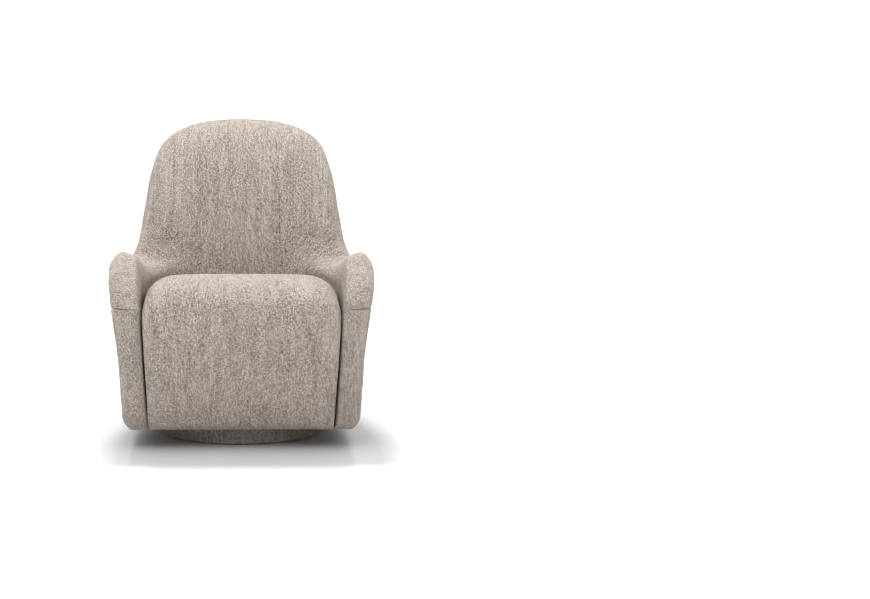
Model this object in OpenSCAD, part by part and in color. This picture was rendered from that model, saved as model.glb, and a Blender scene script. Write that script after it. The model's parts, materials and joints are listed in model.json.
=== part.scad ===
// Swivel glider tub chair, in millimetres, with Z up.
// The origin is on the floor at the swivel axis. The chair faces -Y and the sitter's left is +X.

/* [Upholstered body] */
// Width over the arms
chair_w = 740; // [700:5:800]
// Depth from the seat front to the lip of the back
chair_d = 896; // [850:2:950]
// Height of the upholstered body, from its underside to its top
body_h = 788; // [750:2:830]
// Gap between the plinth and the body
body_gap = 13; // [10:1:20]
// Thickness of the cover cloth with its backing
cover_t = 4; // [3:0.5:5]
// Height of the padded hem roll
hem_h = 41; // [30:1:50]
// Thickness of the padded hem roll
hem_t = 14; // [10:1:18]

/* [Plinth] */
// Diameter of the round plinth
plinth_d = 480; // [450:5:520]
// Height of the plinth
plinth_h = 50; // [46:1:60]
// Thickness of the plinth's boards
board_t = 12; // [9:1:15]
// Thickness of the plinth's bent drum
drum_t = 12; // [9:1:18]
// Thickness of the foam band round the plinth
band_t = 8.4; // [6:0.2:10]
// Thickness of the plinth's cover
plinth_cover_t = 3; // [2:0.5:3.5]
// Thickness of the rubber foot ring
foot_t = 3; // [3:0.5:5]
// Width of the rubber foot ring
foot_w = 25; // [20:1:35]

/* [Turntable] */
// Diameter of the ball track
race_d = 300; // [280:5:310]
// Diameter of a ball
ball_d = 8; // [7:0.5:9]
// Number of balls
ball_count = 24; // [12:1:30]
// Thickness of each ring
ring_t = 5; // [4.5:0.5:6]
// Width of each ring
ring_w = 36; // [34:1:40]
// Gap between the two rings
ring_gap = 2; // [1.6:0.1:3]
// Thickness of the ball cage
cage_t = 1.2; // [0.8:0.1:1.4]

/* [Glide linkage] */
// Distance between a link's two pivots
link_l = 120; // [100:1:140]
// Width of a link
link_w = 28; // [24:1:32]
// Thickness of a link
link_t = 6; // [5:0.5:8]
// Distance between the front and rear pivots
pivot_span = 200; // [180:2:230]
// Height of the lower pivots above the turntable
pivot_rise = 36; // [32:1:45]
// Diameter of a pivot pin
pin_d = 12; // [10:0.5:14]
// Wall of a nylon bush
bush_wall = 2; // [1.5:0.25:3]
// How far the links swing each way, in degrees
glide_angle = 20; // [15:1:24]
// Distance between the outer faces of the two hanger brackets
bracket_span = 364; // [350:2:380]
// Thickness of a hanger bracket
bracket_t = 4; // [3:0.5:6]
// Side of a square cross tube
tube_s = 25; // [20:1:30]
// Wall of a cross tube
tube_wall = 2.5; // [2:0.25:3]
// Diameter of a rubber stop bumper
bumper_d = 16; // [12:1:20]
// Thickness of a glide rail
glide_rail_t = 4; // [3:0.5:5]
// Height of a glide rail
glide_rail_h = 35; // [32:1:45]
// Length of a glide rail
glide_rail_l = 300; // [280:5:330]
// Diameter of the frame bolts
bolt_d = 8; // [6:1:10]

/* [Timber frame] */
// Thickness of the hardwood rails
rail_t = 25; // [20:1:30]
// Height of the lower rails
lower_rail_h = 90; // [75:1:100]
// Height of the seat rails
seat_rail_h = 40; // [30:1:50]
// Thickness of the plywood panels
ply_t = 15; // [12:1:18]
// Thickness of a back post
post_t = 30; // [25:1:35]
// Depth of a back post
post_d = 45; // [38:1:46]
// Thickness of the crown board
crown_t = 18; // [15:1:20]
// Thickness of a back rib
rib_t = 12; // [9:1:15]
// Height of the bent rear base rail
base_rail_h = 36; // [30:1:40]
// Thickness of the bent rear base rail
base_rail_t = 18; // [15:1:20]

/* [Springs] */
// Number of seat springs
spring_count = 5; // [3:1:6]
// Diameter of the spring wire
wire_d = 3.5; // [3:0.25:4]
// Distance from a seat spring to the next
spring_pitch = 100; // [85:1:105]
// Width of a spring's wave
wave_w = 44; // [36:1:50]
// Height of the springs' arch over the rails
spring_arch = 6; // [3:1:9]
// Number of bends along a spring
wave_count = 14; // [10:2:18]
// Thickness of the felt on the springs
felt_t = 3; // [2:0.5:4]

/* [Hidden] */
$fn = 48;

// Clearances: cloth and foam lie skin_gap apart, a pin fits its hole with fit_gap all round,
// moving faces pass with run_gap, and every cut runs past its wall by over
skin_gap = 0.3;
fit_gap = 0.05;
run_gap = 0.3;
open_pivot_gap = 0.3;
over = 1;

// Colours
cloth = [0.62, 0.56, 0.51];
shade_cloth = [0.50, 0.45, 0.41];
foam_yellow = [0.86, 0.82, 0.66];
timber = [0.76, 0.61, 0.42];
plywood = [0.82, 0.69, 0.50];
steel = [0.62, 0.63, 0.65];
dark_steel = [0.22, 0.22, 0.24];
nylon = [0.90, 0.89, 0.85];
rubber_black = [0.10, 0.10, 0.10];

// Plinth, from the floor up
plinth_r = plinth_d / 2;
plinth_core_r = plinth_r - plinth_cover_t - band_t - 2 * skin_gap;
plinth_core_top = plinth_h - plinth_cover_t;
plinth_corner_r = 8;
plinth_cover_lift = 0.5;
plinth_lip_w = 60;
foot_inset = 25;
foot_out_r = plinth_r - foot_inset;
board_hole_r = 66;

// Turntable
race_r = race_d / 2;
ball_r = ball_d / 2;
ball_z = plinth_core_top + ring_t + ring_gap / 2;
ring_in_share = 15 / 36;
ring_in_r = race_r - ring_w * ring_in_share;
ring_out_r = ring_in_r + ring_w;
upper_ring_z = plinth_core_top + ring_t + ring_gap;
turntable_top = upper_ring_z + ring_t;
cage_w = 1.5 * ball_d;
screw_count = 6;
screw_d = 4.4;
screw_head_d = 8;
screw_head_h = 2.2;
screw_l = 15;
screw_ring_r = ring_out_r - 0.8 * screw_head_d;

// Linkage
pin_r = pin_d / 2;
pivot_low_z = turntable_top + pivot_rise;
pivot_high_z = pivot_low_z + link_l;
bracket_x = bracket_span / 2;
link_x = bracket_x + run_gap;
washer_t = 1.5;
washer_d = 20;
washer_x = link_x + link_t + run_gap;
rail_gap = 14;
glide_rail_x = bracket_x + rail_gap;
mech_rail_x = glide_rail_x + glide_rail_t;
bush_r = pin_r + bush_wall;
rivet_head_d = 18;
rivet_head_t = 3.5;
bumper_drop = link_l / 2;
bumper_gap = 0.5;
bumper_off = (link_w / 2 + bumper_d / 2 + bumper_gap + bumper_drop * sin(glide_angle)) / cos(glide_angle);
bumper_l = link_t + run_gap;
bolt_head_h = 5;
bolt_head_d = 13;
tube_inset = 5;
tube_y = pivot_span / 2 - tube_inset;
lobe_rim = 2;
lobe_r = link_w / 2 + lobe_rim;
glide_reach = link_l * sin(glide_angle);
swivel_bolt_r = race_r + ball_r + 0.98 * bolt_d;
swivel_bolt_x = sqrt(pow(swivel_bolt_r, 2) - pow(tube_y, 2));
rail_bolt_y = 0.43 * glide_rail_l;

// Body scale: tables of shares count the body's width in 74 parts, its depth in 89.6 parts
// and its height in 78.8 parts, with the underside at part 6.3
body_lift = plinth_h + body_gap;
underside_share = 6.3;
w_part = chair_w / 74;
d_part = chair_d / 89.6;
h_part = body_h / 78.8;

// Frame places, as shares of the body
frame_lift = 5;
frame_z = body_lift + frame_lift;
deck_share = 32;
front_rail_share = -26;
rear_rail_share = 13;
front_panel_share = 23.6;
post_share = 20;
post_bend_share = 25;
lumbar_share = 44;
crown_low_share = 64;
crown_high_share = 74.5;
post_top_share = 70;
rib_share = 6;
post_front_shares = [[23.7, 47], [29.1, 63], [31.3, 70]];
arm_panel_shares = [
    [-28.4, 15], [-29.4, 24], [-29.2, 31], [-27.6, 37.5], [-24.6, 41.2],
    [-19.4, 43], [-4, 42.4], [6, 41], [13, 40.6]];
arm_rail_shares = [-20, 12, 37, 41];

// Guide curves of the upholstery, from the foot of an arm front, over the arm and up to the
// middle of the top. Each place is across, back and up. The guides run across the roll from
// the side seam to the tuck that the seat hides.
seam_shares = [
    [31, -28.4, 6.6], [32.5, -30.5, 15], [33.4, -31.4, 27], [35.2, -28.6, 38.9],
    [36.3, -24.6, 43.2], [36.6, -19.6, 45.5], [36.6, -14, 46.1], [36.4, -6.6, 44.5],
    [35.7, 0.8, 42.7], [34.8, 8, 42.2], [33.8, 14, 42.7], [32.4, 19, 44.7],
    [30.5, 25, 50], [28.6, 30.3, 59], [26.3, 36, 68], [21.2, 42, 73.5],
    [11.8, 47, 76.1], [0, 49.2, 76.9]];
bulge_shares = [
    [31, -29.5, 6.6], [32.8, -32.6, 15], [33.8, -34, 27], [35.6, -31.9, 39.9],
    [36.5, -27.8, 45.2], [36.8, -21.6, 48.4], [36.8, -14.3, 49.4], [36.6, -6.4, 47.9],
    [35.9, 1.2, 46], [34.9, 8.2, 45.2], [33.5, 14, 45.6], [31.6, 18, 47.6],
    [29.9, 23, 52.6], [28.5, 28, 61.3], [26.8, 33.6, 70.3], [23, 41.6, 77.5],
    [13.2, 48.2, 81], [0, 51, 80.8]];
crest_shares = [
    [28.4, -30.3, 6.6], [29.3, -34.6, 15], [30.2, -35.9, 27], [31.6, -34, 39.6],
    [32.6, -30, 45.2], [33.4, -22.8, 49.9], [33.8, -14.8, 52.4], [33.4, -6.4, 51.1],
    [32.5, 1.4, 49], [31.3, 8.4, 47.5], [29.7, 13.8, 48], [28.6, 16.6, 51],
    [27.5, 19.8, 56.8], [26.5, 23.8, 64.4], [25, 29, 73], [20.9, 36, 80.9],
    [12, 43.6, 84.6], [0, 46.4, 85.1]];
ridge_shares = [
    [25.9, -29.6, 6.6], [26.7, -33.6, 15], [27.5, -34.9, 27], [28.5, -33.1, 39.8],
    [29.1, -29.4, 44.8], [29.4, -22.6, 48.9], [29.6, -14.8, 51], [29.3, -6.4, 49.6],
    [28.3, 1.2, 47.6], [26.9, 7.9, 46.4], [25.3, 12.9, 46.9], [24.7, 15.4, 50.4],
    [24.2, 18.2, 56.6], [23.2, 22.2, 64.2], [21.1, 26.8, 72.2], [16.9, 31.8, 79.2],
    [9.7, 36.4, 82.8], [0, 38.6, 83.4]];
face_shares = [
    [25.5, -28.8, 6.6], [26.2, -32, 15], [27, -33, 27], [27.8, -31.3, 39.6],
    [28.1, -28.2, 43.6], [28.2, -21.8, 46.8], [28.2, -14.6, 48.8], [27.6, -6.5, 47.4],
    [26.6, 0.8, 45.9], [25, 7.3, 45.2], [22.6, 12.2, 46], [20.1, 15, 49],
    [18.3, 18, 54.4], [16.1, 21.6, 60.8], [13.1, 25.3, 67.6], [9.4, 28.4, 73.2],
    [4.9, 30.6, 76.4], [0, 31.4, 77.4]];
inner_shares = [
    [25.5, -28.1, 6.6], [26.1, -30.3, 15], [26.9, -31, 27], [27.6, -29.6, 39.1],
    [27.7, -26.3, 42], [27.7, -20.6, 44], [27.6, -14.2, 45], [26.9, -6.6, 44.6],
    [25.9, 0.4, 43.8], [24.2, 6.8, 43.6], [21.3, 11.6, 44], [17.5, 14.2, 45.6],
    [13.5, 16.3, 48], [9.9, 18.1, 50.6], [6.8, 19.4, 53], [4.2, 20.3, 54.6],
    [2, 20.8, 55.6], [0, 21, 56]];
low_shares = [
    [25.5, -27.4, 6.6], [26.1, -28.6, 15], [26.9, -28.9, 27], [27.6, -27.9, 38.5],
    [27.7, -24.6, 40], [27.7, -18.9, 41], [27.7, -13.6, 41.4], [27.1, -6.8, 41.2],
    [26.3, -0.1, 41], [24.5, 6.3, 41], [21.5, 11.3, 41], [17, 14, 42],
    [12.6, 14.9, 42.6], [8.8, 15.2, 43], [5.9, 15.4, 43.2], [3.6, 15.5, 43.4],
    [1.7, 15.5, 43.5], [0, 15.5, 43.5]];
tuck_shares = [
    [25.5, -26.7, 6.6], [26.1, -26.9, 15], [26.9, -26.9, 27], [27.6, -26.3, 37.9],
    [27.7, -22.9, 38], [27.7, -17.2, 38], [27.7, -13, 38], [27.4, -7, 38],
    [26.6, -0.6, 38], [24.7, 5.9, 38], [21.5, 11, 38], [17, 13.8, 38], [12.6, 14.5, 38],
    [8.8, 14.8, 38], [5.9, 14.8, 38], [3.6, 14.8, 38], [1.7, 14.8, 38], [0, 14.8, 38]];
// Thickness of the padding under each guide
arm_padding_shares = [0.6, 1.2, 1.8, 1.4, 0.6, 0.5, 0.5, 0.5];
back_padding_shares = [0.8, 1.6, 2.4, 3, 4, 4, 3.6, 2.4];
join_station = 3;
arm_end_station = 10;
join_gap_share = 0.02;
pad_gap_share = 0.045;
seam_gap_share = 0.008;

// Outside panel: it bulges by these shares between the hem and the seam, the most below half way
side_bulge_shares = [
    -0.2, -0.8, -0.8, -0.8, -0.8, -0.8, -0.8, -0.8, -0.8, -0.8, -0.4, 0.3, 1, 1.7, 2.2, 2.6, 2.8, 2.9];
side_front_share = 0.5;
bulge_skew = 0.8;
panel_rows = 4;

// Plan of the hem: straight sides, then a superellipse round the back
hem_half_share = 31.8;
hem_turn_share = 13;
hem_back_share = 38.3;
hem_front_share = -28.1;
hem_power_share = 2 / 2.3;
hem_half = hem_half_share * w_part;
hem_turn = hem_turn_share * d_part;
hem_back = hem_back_share * d_part - hem_turn;
hem_front = hem_front_share * d_part;
hem_turn_steps = 7;
hem_side_steps = 4;
panel_lift = 2.5;

// Seat: each row is back, up and half width, from the foot of the apron over the front edge
// to the inside back
seat_shares = [
    [-35.6, 6.6, 25], [-36.6, 13, 25.5], [-38, 22, 26.1], [-38.7, 30, 26.6], [-38, 36.5, 27],
    [-35.6, 41.8, 27.2], [-31.2, 45.4, 27.2], [-24.5, 47, 27.2], [-16, 46.9, 27.2],
    [-6.5, 45.6, 27], [0.8, 44.5, 25.9], [6.6, 43.6, 23.8], [10.8, 42.9, 21],
    [13.2, 42, 17.6], [13.9, 40.3, 16.2]];
// Inside of the seat foam: back and up, up to the row where it turns on to the springs
core_front_shares = [6.9, 12.5, 18.5, 24, 28.5];
core_top_shares = [-27.6, -24, -20.5, -14.5, -6.3, 0.6, 5.8, 9, 10.8, 11.6];
// Rounding of the seat's side edges in each row: across, into the seat, and the skirt below it
seat_round_shares = [
    [4, 3.4, 2.7], [4, 3.4, 2.7], [4, 3.4, 2.7], [4.4, 3.6, 2.7], [5.4, 4.6, 2.7],
    [7, 6, 2.7], [8.4, 7, 2.7], [9, 7.4, 2.7], [9, 7.4, 2.7],
    [9, 7.2, 2.7], [8.6, 6.4, 2.7], [8, 5, 2.5], [7, 3.6, 1.2],
    [5.6, 2.2, 0.8], [4.6, 1.2, 0.5]];
edge_angles = [90, 67.5, 45, 22.5, 0];
flat_steps = [0.7, 0.35];

// Springs and webbing
deck_z = body_lift + (deck_share - underside_share) * h_part;
wire_lift = 0.2;
spring_z = deck_z + wire_d / 2 + wire_lift;
felt_z = spring_z + spring_arch + wire_d / 2 + skin_gap;
core_z = felt_z + felt_t + skin_gap;
clip_w = 16;
clip_d = 12;
clip_t = 1.5;
clip_h = wire_d + 2 * wire_lift + clip_t;
strap_w = 50;
strap_t = 1.5;
strap_count = 3;
strap_pitch = 110;
wire_sides = 6;
points_per_bend = 4;

// Curves and surfaces
function place(p) = [p.x * w_part, p.y * d_part, body_lift + (p.z - underside_share) * h_part];
function level(share) = body_lift + (share - underside_share) * h_part;
function flip(p) = [-p.x, p.y, p.z];
function unit(v) = v / max(norm(v), 1e-9);
function mix(a, b, t) = a + (b - a) * t;
function reversed(list) = [for (i = [len(list) - 1 : -1 : 0]) list[i]];
function ahead(list, i) =
    i < 0 ? 2 * list[0] - list[1]
    : i >= len(list) ? 2 * list[len(list) - 1] - list[len(list) - 2]
    : list[i];
function bend(a, b, c, d, t) =
    0.5 * (2 * b + (c - a) * t + (2 * a - 5 * b + 4 * c - d) * t * t + (3 * b - a - 3 * c + d) * t * t * t);
function refine(list, n) = concat(
    [for (i = [0 : len(list) - 2], j = [0 : n - 1])
        bend(ahead(list, i - 1), list[i], list[i + 1], ahead(list, i + 2), j / n)],
    [list[len(list) - 1]]);

// Outward normal of a grid of points, and the grid moved inwards by a depth for each place
function grid_normal(g, i, j) =
    let (a = g[min(i + 1, len(g) - 1)][j] - g[max(i - 1, 0)][j],
         b = g[i][min(j + 1, len(g[0]) - 1)] - g[i][max(j - 1, 0)])
    unit(cross(a, b));
function sink(g, depths) = [for (i = [0 : len(g) - 1])
    [for (j = [0 : len(g[0]) - 1]) g[i][j] - grid_normal(g, i, j) * depths[i][j]]];
function even(g, depth) = [for (row = g) [for (p = row) depth]];

// A closed solid between an outer grid and an inner grid of the same size. From the row turn
// on, its triangles lean the other way, so that both halves of a mirrored grid match.
module slab(outer, inner, turn) {
    rows = len(outer);
    cols = len(outer[0]);
    count = rows * cols;
    points = concat([for (row = outer) for (p = row) p], [for (row = inner) for (p = row) p]);
    last = cols - 1;
    skins = [for (i = [0 : rows - 2], j = [0 : cols - 2])
        let (a = i * cols + j, b = a + 1, c = a + cols, d = c + 1)
        each i < turn
            ? [[a, b, d], [a, d, c], [count + a, count + d, count + b], [count + a, count + c, count + d]]
            : [[a, b, c], [b, d, c], [count + a, count + c, count + b], [count + b, count + c, count + d]]];
    ends = [for (j = [0 : cols - 2])
        let (a = j, b = (rows - 1) * cols + j)
        each [[a, count + a, a + 1], [a + 1, count + a, count + a + 1],
              [b, b + 1, count + b], [b + 1, count + b + 1, count + b]]];
    sides = [for (i = [0 : rows - 2])
        let (a = i * cols, b = i * cols + last)
        each [[a, a + cols, count + a], [a + cols, count + a + cols, count + a],
              [b, count + b, b + cols], [b + cols, count + b, count + b + cols]]];
    polyhedron(points, concat(skins, ends, sides));
}

// A tube swept along points, with its section turned about the vertical
module sweep(path, section) {
    sides = len(section);
    rings = len(path);
    points = [for (i = [0 : rings - 1])
        let (t = unit(path[min(i + 1, rings - 1)] - path[max(i - 1, 0)]),
             side = unit(cross(t, [0, 0, 1])),
             up = cross(side, t))
        for (q = section) path[i] + side * q.x + up * q.y];
    walls = [for (i = [0 : rings - 2], j = [0 : sides - 1])
        let (a = i * sides + j, b = i * sides + (j + 1) % sides)
        each [[a, b, b + sides], [a, b + sides, a + sides]]];
    caps = concat(
        [for (j = [1 : sides - 2]) [0, j + 1, j]],
        [for (j = [1 : sides - 2]) let (z = (rings - 1) * sides) [z, z + j, z + j + 1]]);
    polyhedron(points, concat(walls, caps));
}

// Upholstery grids
function station(i) = [for (guide = [seam_shares, bulge_shares, crest_shares, ridge_shares,
    face_shares, inner_shares, low_shares, tuck_shares]) place(guide[i])];
function over_top(row) = [for (p = row) flip(p)];
function station_near(i) =
    i < 0 ? 2 * station(0) - station(1)
    : i > top_station ? over_top(station(2 * top_station - i))
    : station(i);
function station_at(u) = let (i = floor(u), t = u - i)
    t == 0 ? station(i) : bend(station_near(i - 1), station(i), station(i + 1), station_near(i + 2), t);
function cross_line(u) = refine(station_at(u), 2);
function padding_line(depths) = [for (i = [0 : len(depths) - 1]) each
    i < len(depths) - 1 ? [depths[i], (depths[i] + depths[i + 1]) / 2] : [depths[i]]];
function mirrored_rows(rows) = concat(rows, [for (i = [len(rows) - 2 : -1 : 0]) [for (p = rows[i]) flip(p)]]);
function roll_rows(us) = [for (u = us) cross_line(u)];
top_station = len(seam_shares) - 1;
fine_station = 13;
function stations_up(from) = concat(
    [for (i = [from : fine_station]) i], [for (u = [fine_station + 0.5 : 0.5 : top_station]) u]);
inner_grid = mirrored_rows(roll_rows(concat(
    [join_station + join_gap_share], stations_up(join_station + 1))));
back_grid = mirrored_rows(roll_rows(concat(
    [arm_end_station + pad_gap_share], stations_up(arm_end_station + 1))));
arm_grid = roll_rows(concat([for (i = [0 : 0.5 : join_station]) i],
    [for (i = [join_station + 1 : arm_end_station]) i]));
arm_front_grid = roll_rows([for (i = [0 : 0.5 : join_station]) i]);

// Outline of the hem: 0 is the middle of the back and 1 the front end
function plan_round(angle, inset) = [
    (hem_half - inset) * pow(cos(angle), hem_power_share),
    hem_turn + (hem_back - inset) * pow(sin(angle), hem_power_share)];
function plan_half(inset, front) = concat(
    [for (i = [0 : hem_side_steps - 1]) [hem_half - inset, mix(front, hem_turn, i / hem_side_steps)]],
    [for (i = [0 : hem_turn_steps]) plan_round(90 * i / hem_turn_steps, inset)]);
function plan_line(inset, front) =
    let (half = plan_half(inset, front))
    concat(half, [for (i = [len(half) - 2 : -1 : 0]) [-half[i].x, half[i].y]]);

// Foot of the outside panel under each station, and the panel's grid
hem_top = body_lift + hem_h;
function panel_foot(u) =
    let (p = u <= arm_end_station
        ? [hem_half - cover_t, mix(hem_front, hem_turn, u / arm_end_station)]
        : plan_round(90 * (u - arm_end_station) / (top_station - arm_end_station), cover_t))
    [p.x, p.y, hem_top + panel_lift];
function panel_out(u) =
    let (a = panel_foot(u - 0.5), b = u == top_station ? flip(a) : panel_foot(u + 0.5))
    unit([b.y - a.y, a.x - b.x, 0]);
function panel_line(u) =
    let (i = floor(u),
         foot = panel_foot(u),
         seam = station_at(u)[0],
         bulge = mix(side_bulge_shares[i], side_bulge_shares[min(i + 1, top_station)], u - i) * w_part)
    [for (j = [0 : panel_rows])
        let (t = j / panel_rows * (1 - seam_gap_share), s = pow(t, bulge_skew))
        mix(foot, seam, t) + panel_out(u) * bulge * 4 * s * (1 - s)];
panel_grid = mirrored_rows([for (u = concat([side_front_share], stations_up(1))) panel_line(u)]);

// Seat grids
apron_rows = len(core_front_shares);
seat_rows = len(seat_shares);
function seat_center(i) = [0, seat_shares[i].x * d_part, level(seat_shares[i].y)];
function seat_inward(i) =
    let (a = seat_center(min(i + 1, seat_rows - 1)) - seat_center(max(i - 1, 0)))
    unit([0, a.z, -a.y]);
function seat_round(i) = seat_round_shares[i] * w_part;
function seat_edge(i, across, deep) =
    [across, seat_center(i).y, seat_center(i).z] + seat_inward(i) * deep;
function seat_half_line(i) =
    let (w = seat_shares[i].z * w_part, r = seat_round(i), flat = w - r.x)
    concat(
        [seat_edge(i, w, r.y + r.z)],
        [for (a = edge_angles) seat_edge(i, flat + r.x * sin(a), r.y * (1 - cos(a)))],
        [for (s = flat_steps) seat_edge(i, flat * s, 0)]);
function seat_line(i) = let (half = seat_half_line(i))
    concat(half, [seat_center(i)], [for (k = [len(half) - 1 : -1 : 0]) flip(half[k])]);
seat_grid = [for (i = [0 : seat_rows - 1]) seat_line(i)];
seat_foam_front = (front_rail_share * d_part) - ply_t - skin_gap;
function core_point(i) = i < apron_rows
    ? [0, seat_foam_front, level(core_front_shares[i])]
    : [0, core_top_shares[i - apron_rows] * d_part, core_z];
function core_line(i, outer) =
    let (row = outer[i], last = len(row) - 1)
    [for (j = [0 : last])
        let (x = j == 1 ? (row[0].x + row[2].x) / 2 : j == last - 1 ? (row[last].x + row[last - 2].x) / 2 : row[j].x)
        [x, core_point(i).y, core_point(i).z]];

// Parts of the plinth

module tube_ring(inner_r, outer_r, z, h) {
    difference() {
        translate([0, 0, z]) cylinder(r = outer_r, h = h);
        translate([0, 0, z - over]) cylinder(r = inner_r, h = h + 2 * over);
    }
}

module foot_ring() {
    color(rubber_black) tube_ring(foot_out_r - foot_w, foot_out_r, 0, foot_t);
}

module plinth_bottom_board() {
    color(plywood) tube_ring(board_hole_r, plinth_core_r, foot_t, board_t);
}

module plinth_drum() {
    color(plywood)
        tube_ring(plinth_core_r - drum_t, plinth_core_r, foot_t + board_t,
            plinth_core_top - foot_t - 2 * board_t);
}

module plinth_top_board() {
    color(plywood) difference() {
        tube_ring(board_hole_r, plinth_core_r, plinth_core_top - board_t, board_t);
        bearing_screw_set(fit_gap);
    }
}

module plinth_foam_band() {
    color(foam_yellow)
        tube_ring(plinth_core_r + skin_gap, plinth_core_r + skin_gap + band_t, foot_t, plinth_core_top - foot_t);
}

function arc(c, r, from, to, steps) = [for (i = [0 : steps])
    let (a = mix(from, to, i / steps)) [c.x + r * cos(a), c.y + r * sin(a)]];

module plinth_cover() {
    lift = plinth_cover_lift;
    r = plinth_corner_r;
    inner = plinth_r - plinth_cover_t;
    turn_in = foot_out_r + foot_t;
    color(cloth) rotate_extrude($fn = 96) polygon(concat(
        [[turn_in, lift]],
        arc([plinth_r - r, lift + r], r, -90, 0, 4),
        arc([plinth_r - r, plinth_h - r], r, 0, 90, 4),
        [[plinth_r - plinth_lip_w, plinth_h], [plinth_r - plinth_lip_w, plinth_core_top],
         [inner, plinth_core_top], [inner, foot_t], [turn_in, foot_t]]));
}

// Turntable

module race_groove() {
    rotate_extrude() translate([race_r, 0]) circle(r = ball_r + fit_gap);
}

module bearing_ring(z) {
    difference() {
        tube_ring(ring_in_r, ring_out_r, z, ring_t);
        translate([0, 0, ball_z]) race_groove();
    }
}

module countersunk_screw(gap) {
    translate([0, 0, -screw_head_h]) cylinder(d1 = screw_d + 2 * gap, d2 = screw_head_d + 2 * gap, h = screw_head_h);
    translate([0, 0, -screw_l - gap]) cylinder(d = screw_d + 2 * gap, h = screw_l + gap);
}

module bearing_screw_set(gap) {
    for (i = [0 : screw_count - 1])
        rotate(360 / screw_count * i)
            translate([screw_ring_r, 0, plinth_core_top + ring_t])
                countersunk_screw(gap);
}

module bearing_lower_ring() {
    color(steel) difference() {
        bearing_ring(plinth_core_top);
        bearing_screw_set(fit_gap);
    }
}

module bearing_screws() {
    color(dark_steel) bearing_screw_set(0);
}

module bearing_balls() {
    color(steel)
        for (i = [0 : ball_count - 1])
            rotate(360 / ball_count * i) translate([race_r, 0, ball_z]) sphere(r = ball_r);
}

module ball_cage() {
    color(nylon) difference() {
        tube_ring(race_r - cage_w / 2, race_r + cage_w / 2, ball_z - cage_t / 2, cage_t);
        for (i = [0 : ball_count - 1])
            rotate(360 / ball_count * i)
                translate([race_r, 0, ball_z - cage_t])
                    cylinder(r = ball_r + 2 * fit_gap, h = 2 * cage_t);
    }
}

// Glider frame

module at_swivel_bolts() {
    for (x = [-swivel_bolt_x, swivel_bolt_x], y = [-tube_y, tube_y])
        translate([x, y, 0]) children();
}

module bearing_upper_ring() {
    color(steel) difference() {
        bearing_ring(upper_ring_z);
        at_swivel_bolts() translate([0, 0, upper_ring_z - over])
            cylinder(r = bolt_d / 2 + fit_gap, h = ring_t + 2 * over);
    }
}

module cross_tube(y) {
    length = 2 * (bracket_x - bracket_t);
    inner = tube_s - 2 * tube_wall;
    color(dark_steel) difference() {
        translate([-length / 2, y - tube_s / 2, turntable_top]) cube([length, tube_s, tube_s]);
        translate([-length / 2 - over, y - inner / 2, turntable_top + tube_wall])
            cube([length + 2 * over, inner, inner]);
        at_swivel_bolts() translate([0, 0, turntable_top - over])
            cylinder(r = bolt_d / 2 + fit_gap, h = tube_s + 2 * over);
    }
}

module front_cross_tube() {
    cross_tube(-tube_y);
}

module rear_cross_tube() {
    cross_tube(tube_y);
}

module swivel_bolts() {
    color(steel) at_swivel_bolts() {
        translate([0, 0, upper_ring_z + run_gap]) cylinder(d = bolt_d, h = tube_s + ring_t - run_gap);
        translate([0, 0, turntable_top + tube_s]) cylinder(d = bolt_head_d, h = bolt_head_h, $fn = 6);
    }
}

// Turns a shape drawn up Z so that it points along X, at a place on the YZ plane
module along_x(x, y, z) {
    translate([x, y, z]) rotate([0, 90, 0]) children();
}

module bracket_plate(out) {
    half = pivot_span / 2;
    color(dark_steel) difference() {
        union() {
            translate([out - bracket_t, 0, 0]) rotate([90, 0, 90]) linear_extrude(bracket_t)
                polygon([[-half - lobe_r, turntable_top], [half + lobe_r, turntable_top],
                         [half + lobe_r, pivot_high_z], [-half - lobe_r, pivot_high_z]]);
            for (y = [-half, half]) along_x(out - bracket_t, y, pivot_high_z) cylinder(r = lobe_r, h = bracket_t);
        }
        for (y = [-half, half])
            along_x(out - bracket_t - over, y, pivot_high_z)
                cylinder(r = pin_r + fit_gap, h = bracket_t + 2 * over);
    }
}

module left_hanger_bracket() {
    bracket_plate(bracket_x);
}

module right_hanger_bracket() {
    bracket_plate(-bracket_x + bracket_t);
}

module both_sides() {
    children();
    mirror([1, 0, 0]) children();
}

module upper_pivot_pins() {
    color(steel) both_sides() for (y = [-pivot_span / 2, pivot_span / 2]) {
        along_x(bracket_x - bracket_t, y, pivot_high_z)
            cylinder(r = pin_r, h = washer_x + 2 * washer_t - bracket_x + bracket_t);
        along_x(bracket_x - bracket_t - rivet_head_t, y, pivot_high_z)
            cylinder(d = rivet_head_d, h = rivet_head_t);
    }
}

module pivot_washers() {
    color(steel) both_sides() for (y = [-pivot_span / 2, pivot_span / 2]) difference() {
        along_x(washer_x, y, pivot_high_z) cylinder(d = washer_d, h = washer_t);
        along_x(washer_x - over, y, pivot_high_z) cylinder(r = pin_r + fit_gap, h = washer_t + 2 * over);
    }
}

module stop_bumpers() {
    color(rubber_black) both_sides() for (side = [-1, 1])
        along_x(bracket_x, side * (pivot_span / 2 - bumper_off), pivot_high_z - bumper_drop)
            cylinder(d = bumper_d, h = bumper_l);
}

// Links

module link(x, y) {
    color(dark_steel) difference() {
        union() {
            translate([x, y - link_w / 2, pivot_low_z]) cube([link_t, link_w, link_l]);
            for (z = [pivot_low_z, pivot_high_z]) along_x(x, y, z) cylinder(d = link_w, h = link_t);
        }
        for (z = [pivot_low_z, pivot_high_z])
            along_x(x - over, y, z) cylinder(r = bush_r + fit_gap, h = link_t + 2 * over);
    }
}

module bush(x, y, z, gap) {
    difference() {
        along_x(x, y, z) cylinder(r = bush_r, h = link_t);
        along_x(x - over, y, z) cylinder(r = pin_r + gap, h = link_t + 2 * over);
    }
}

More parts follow.
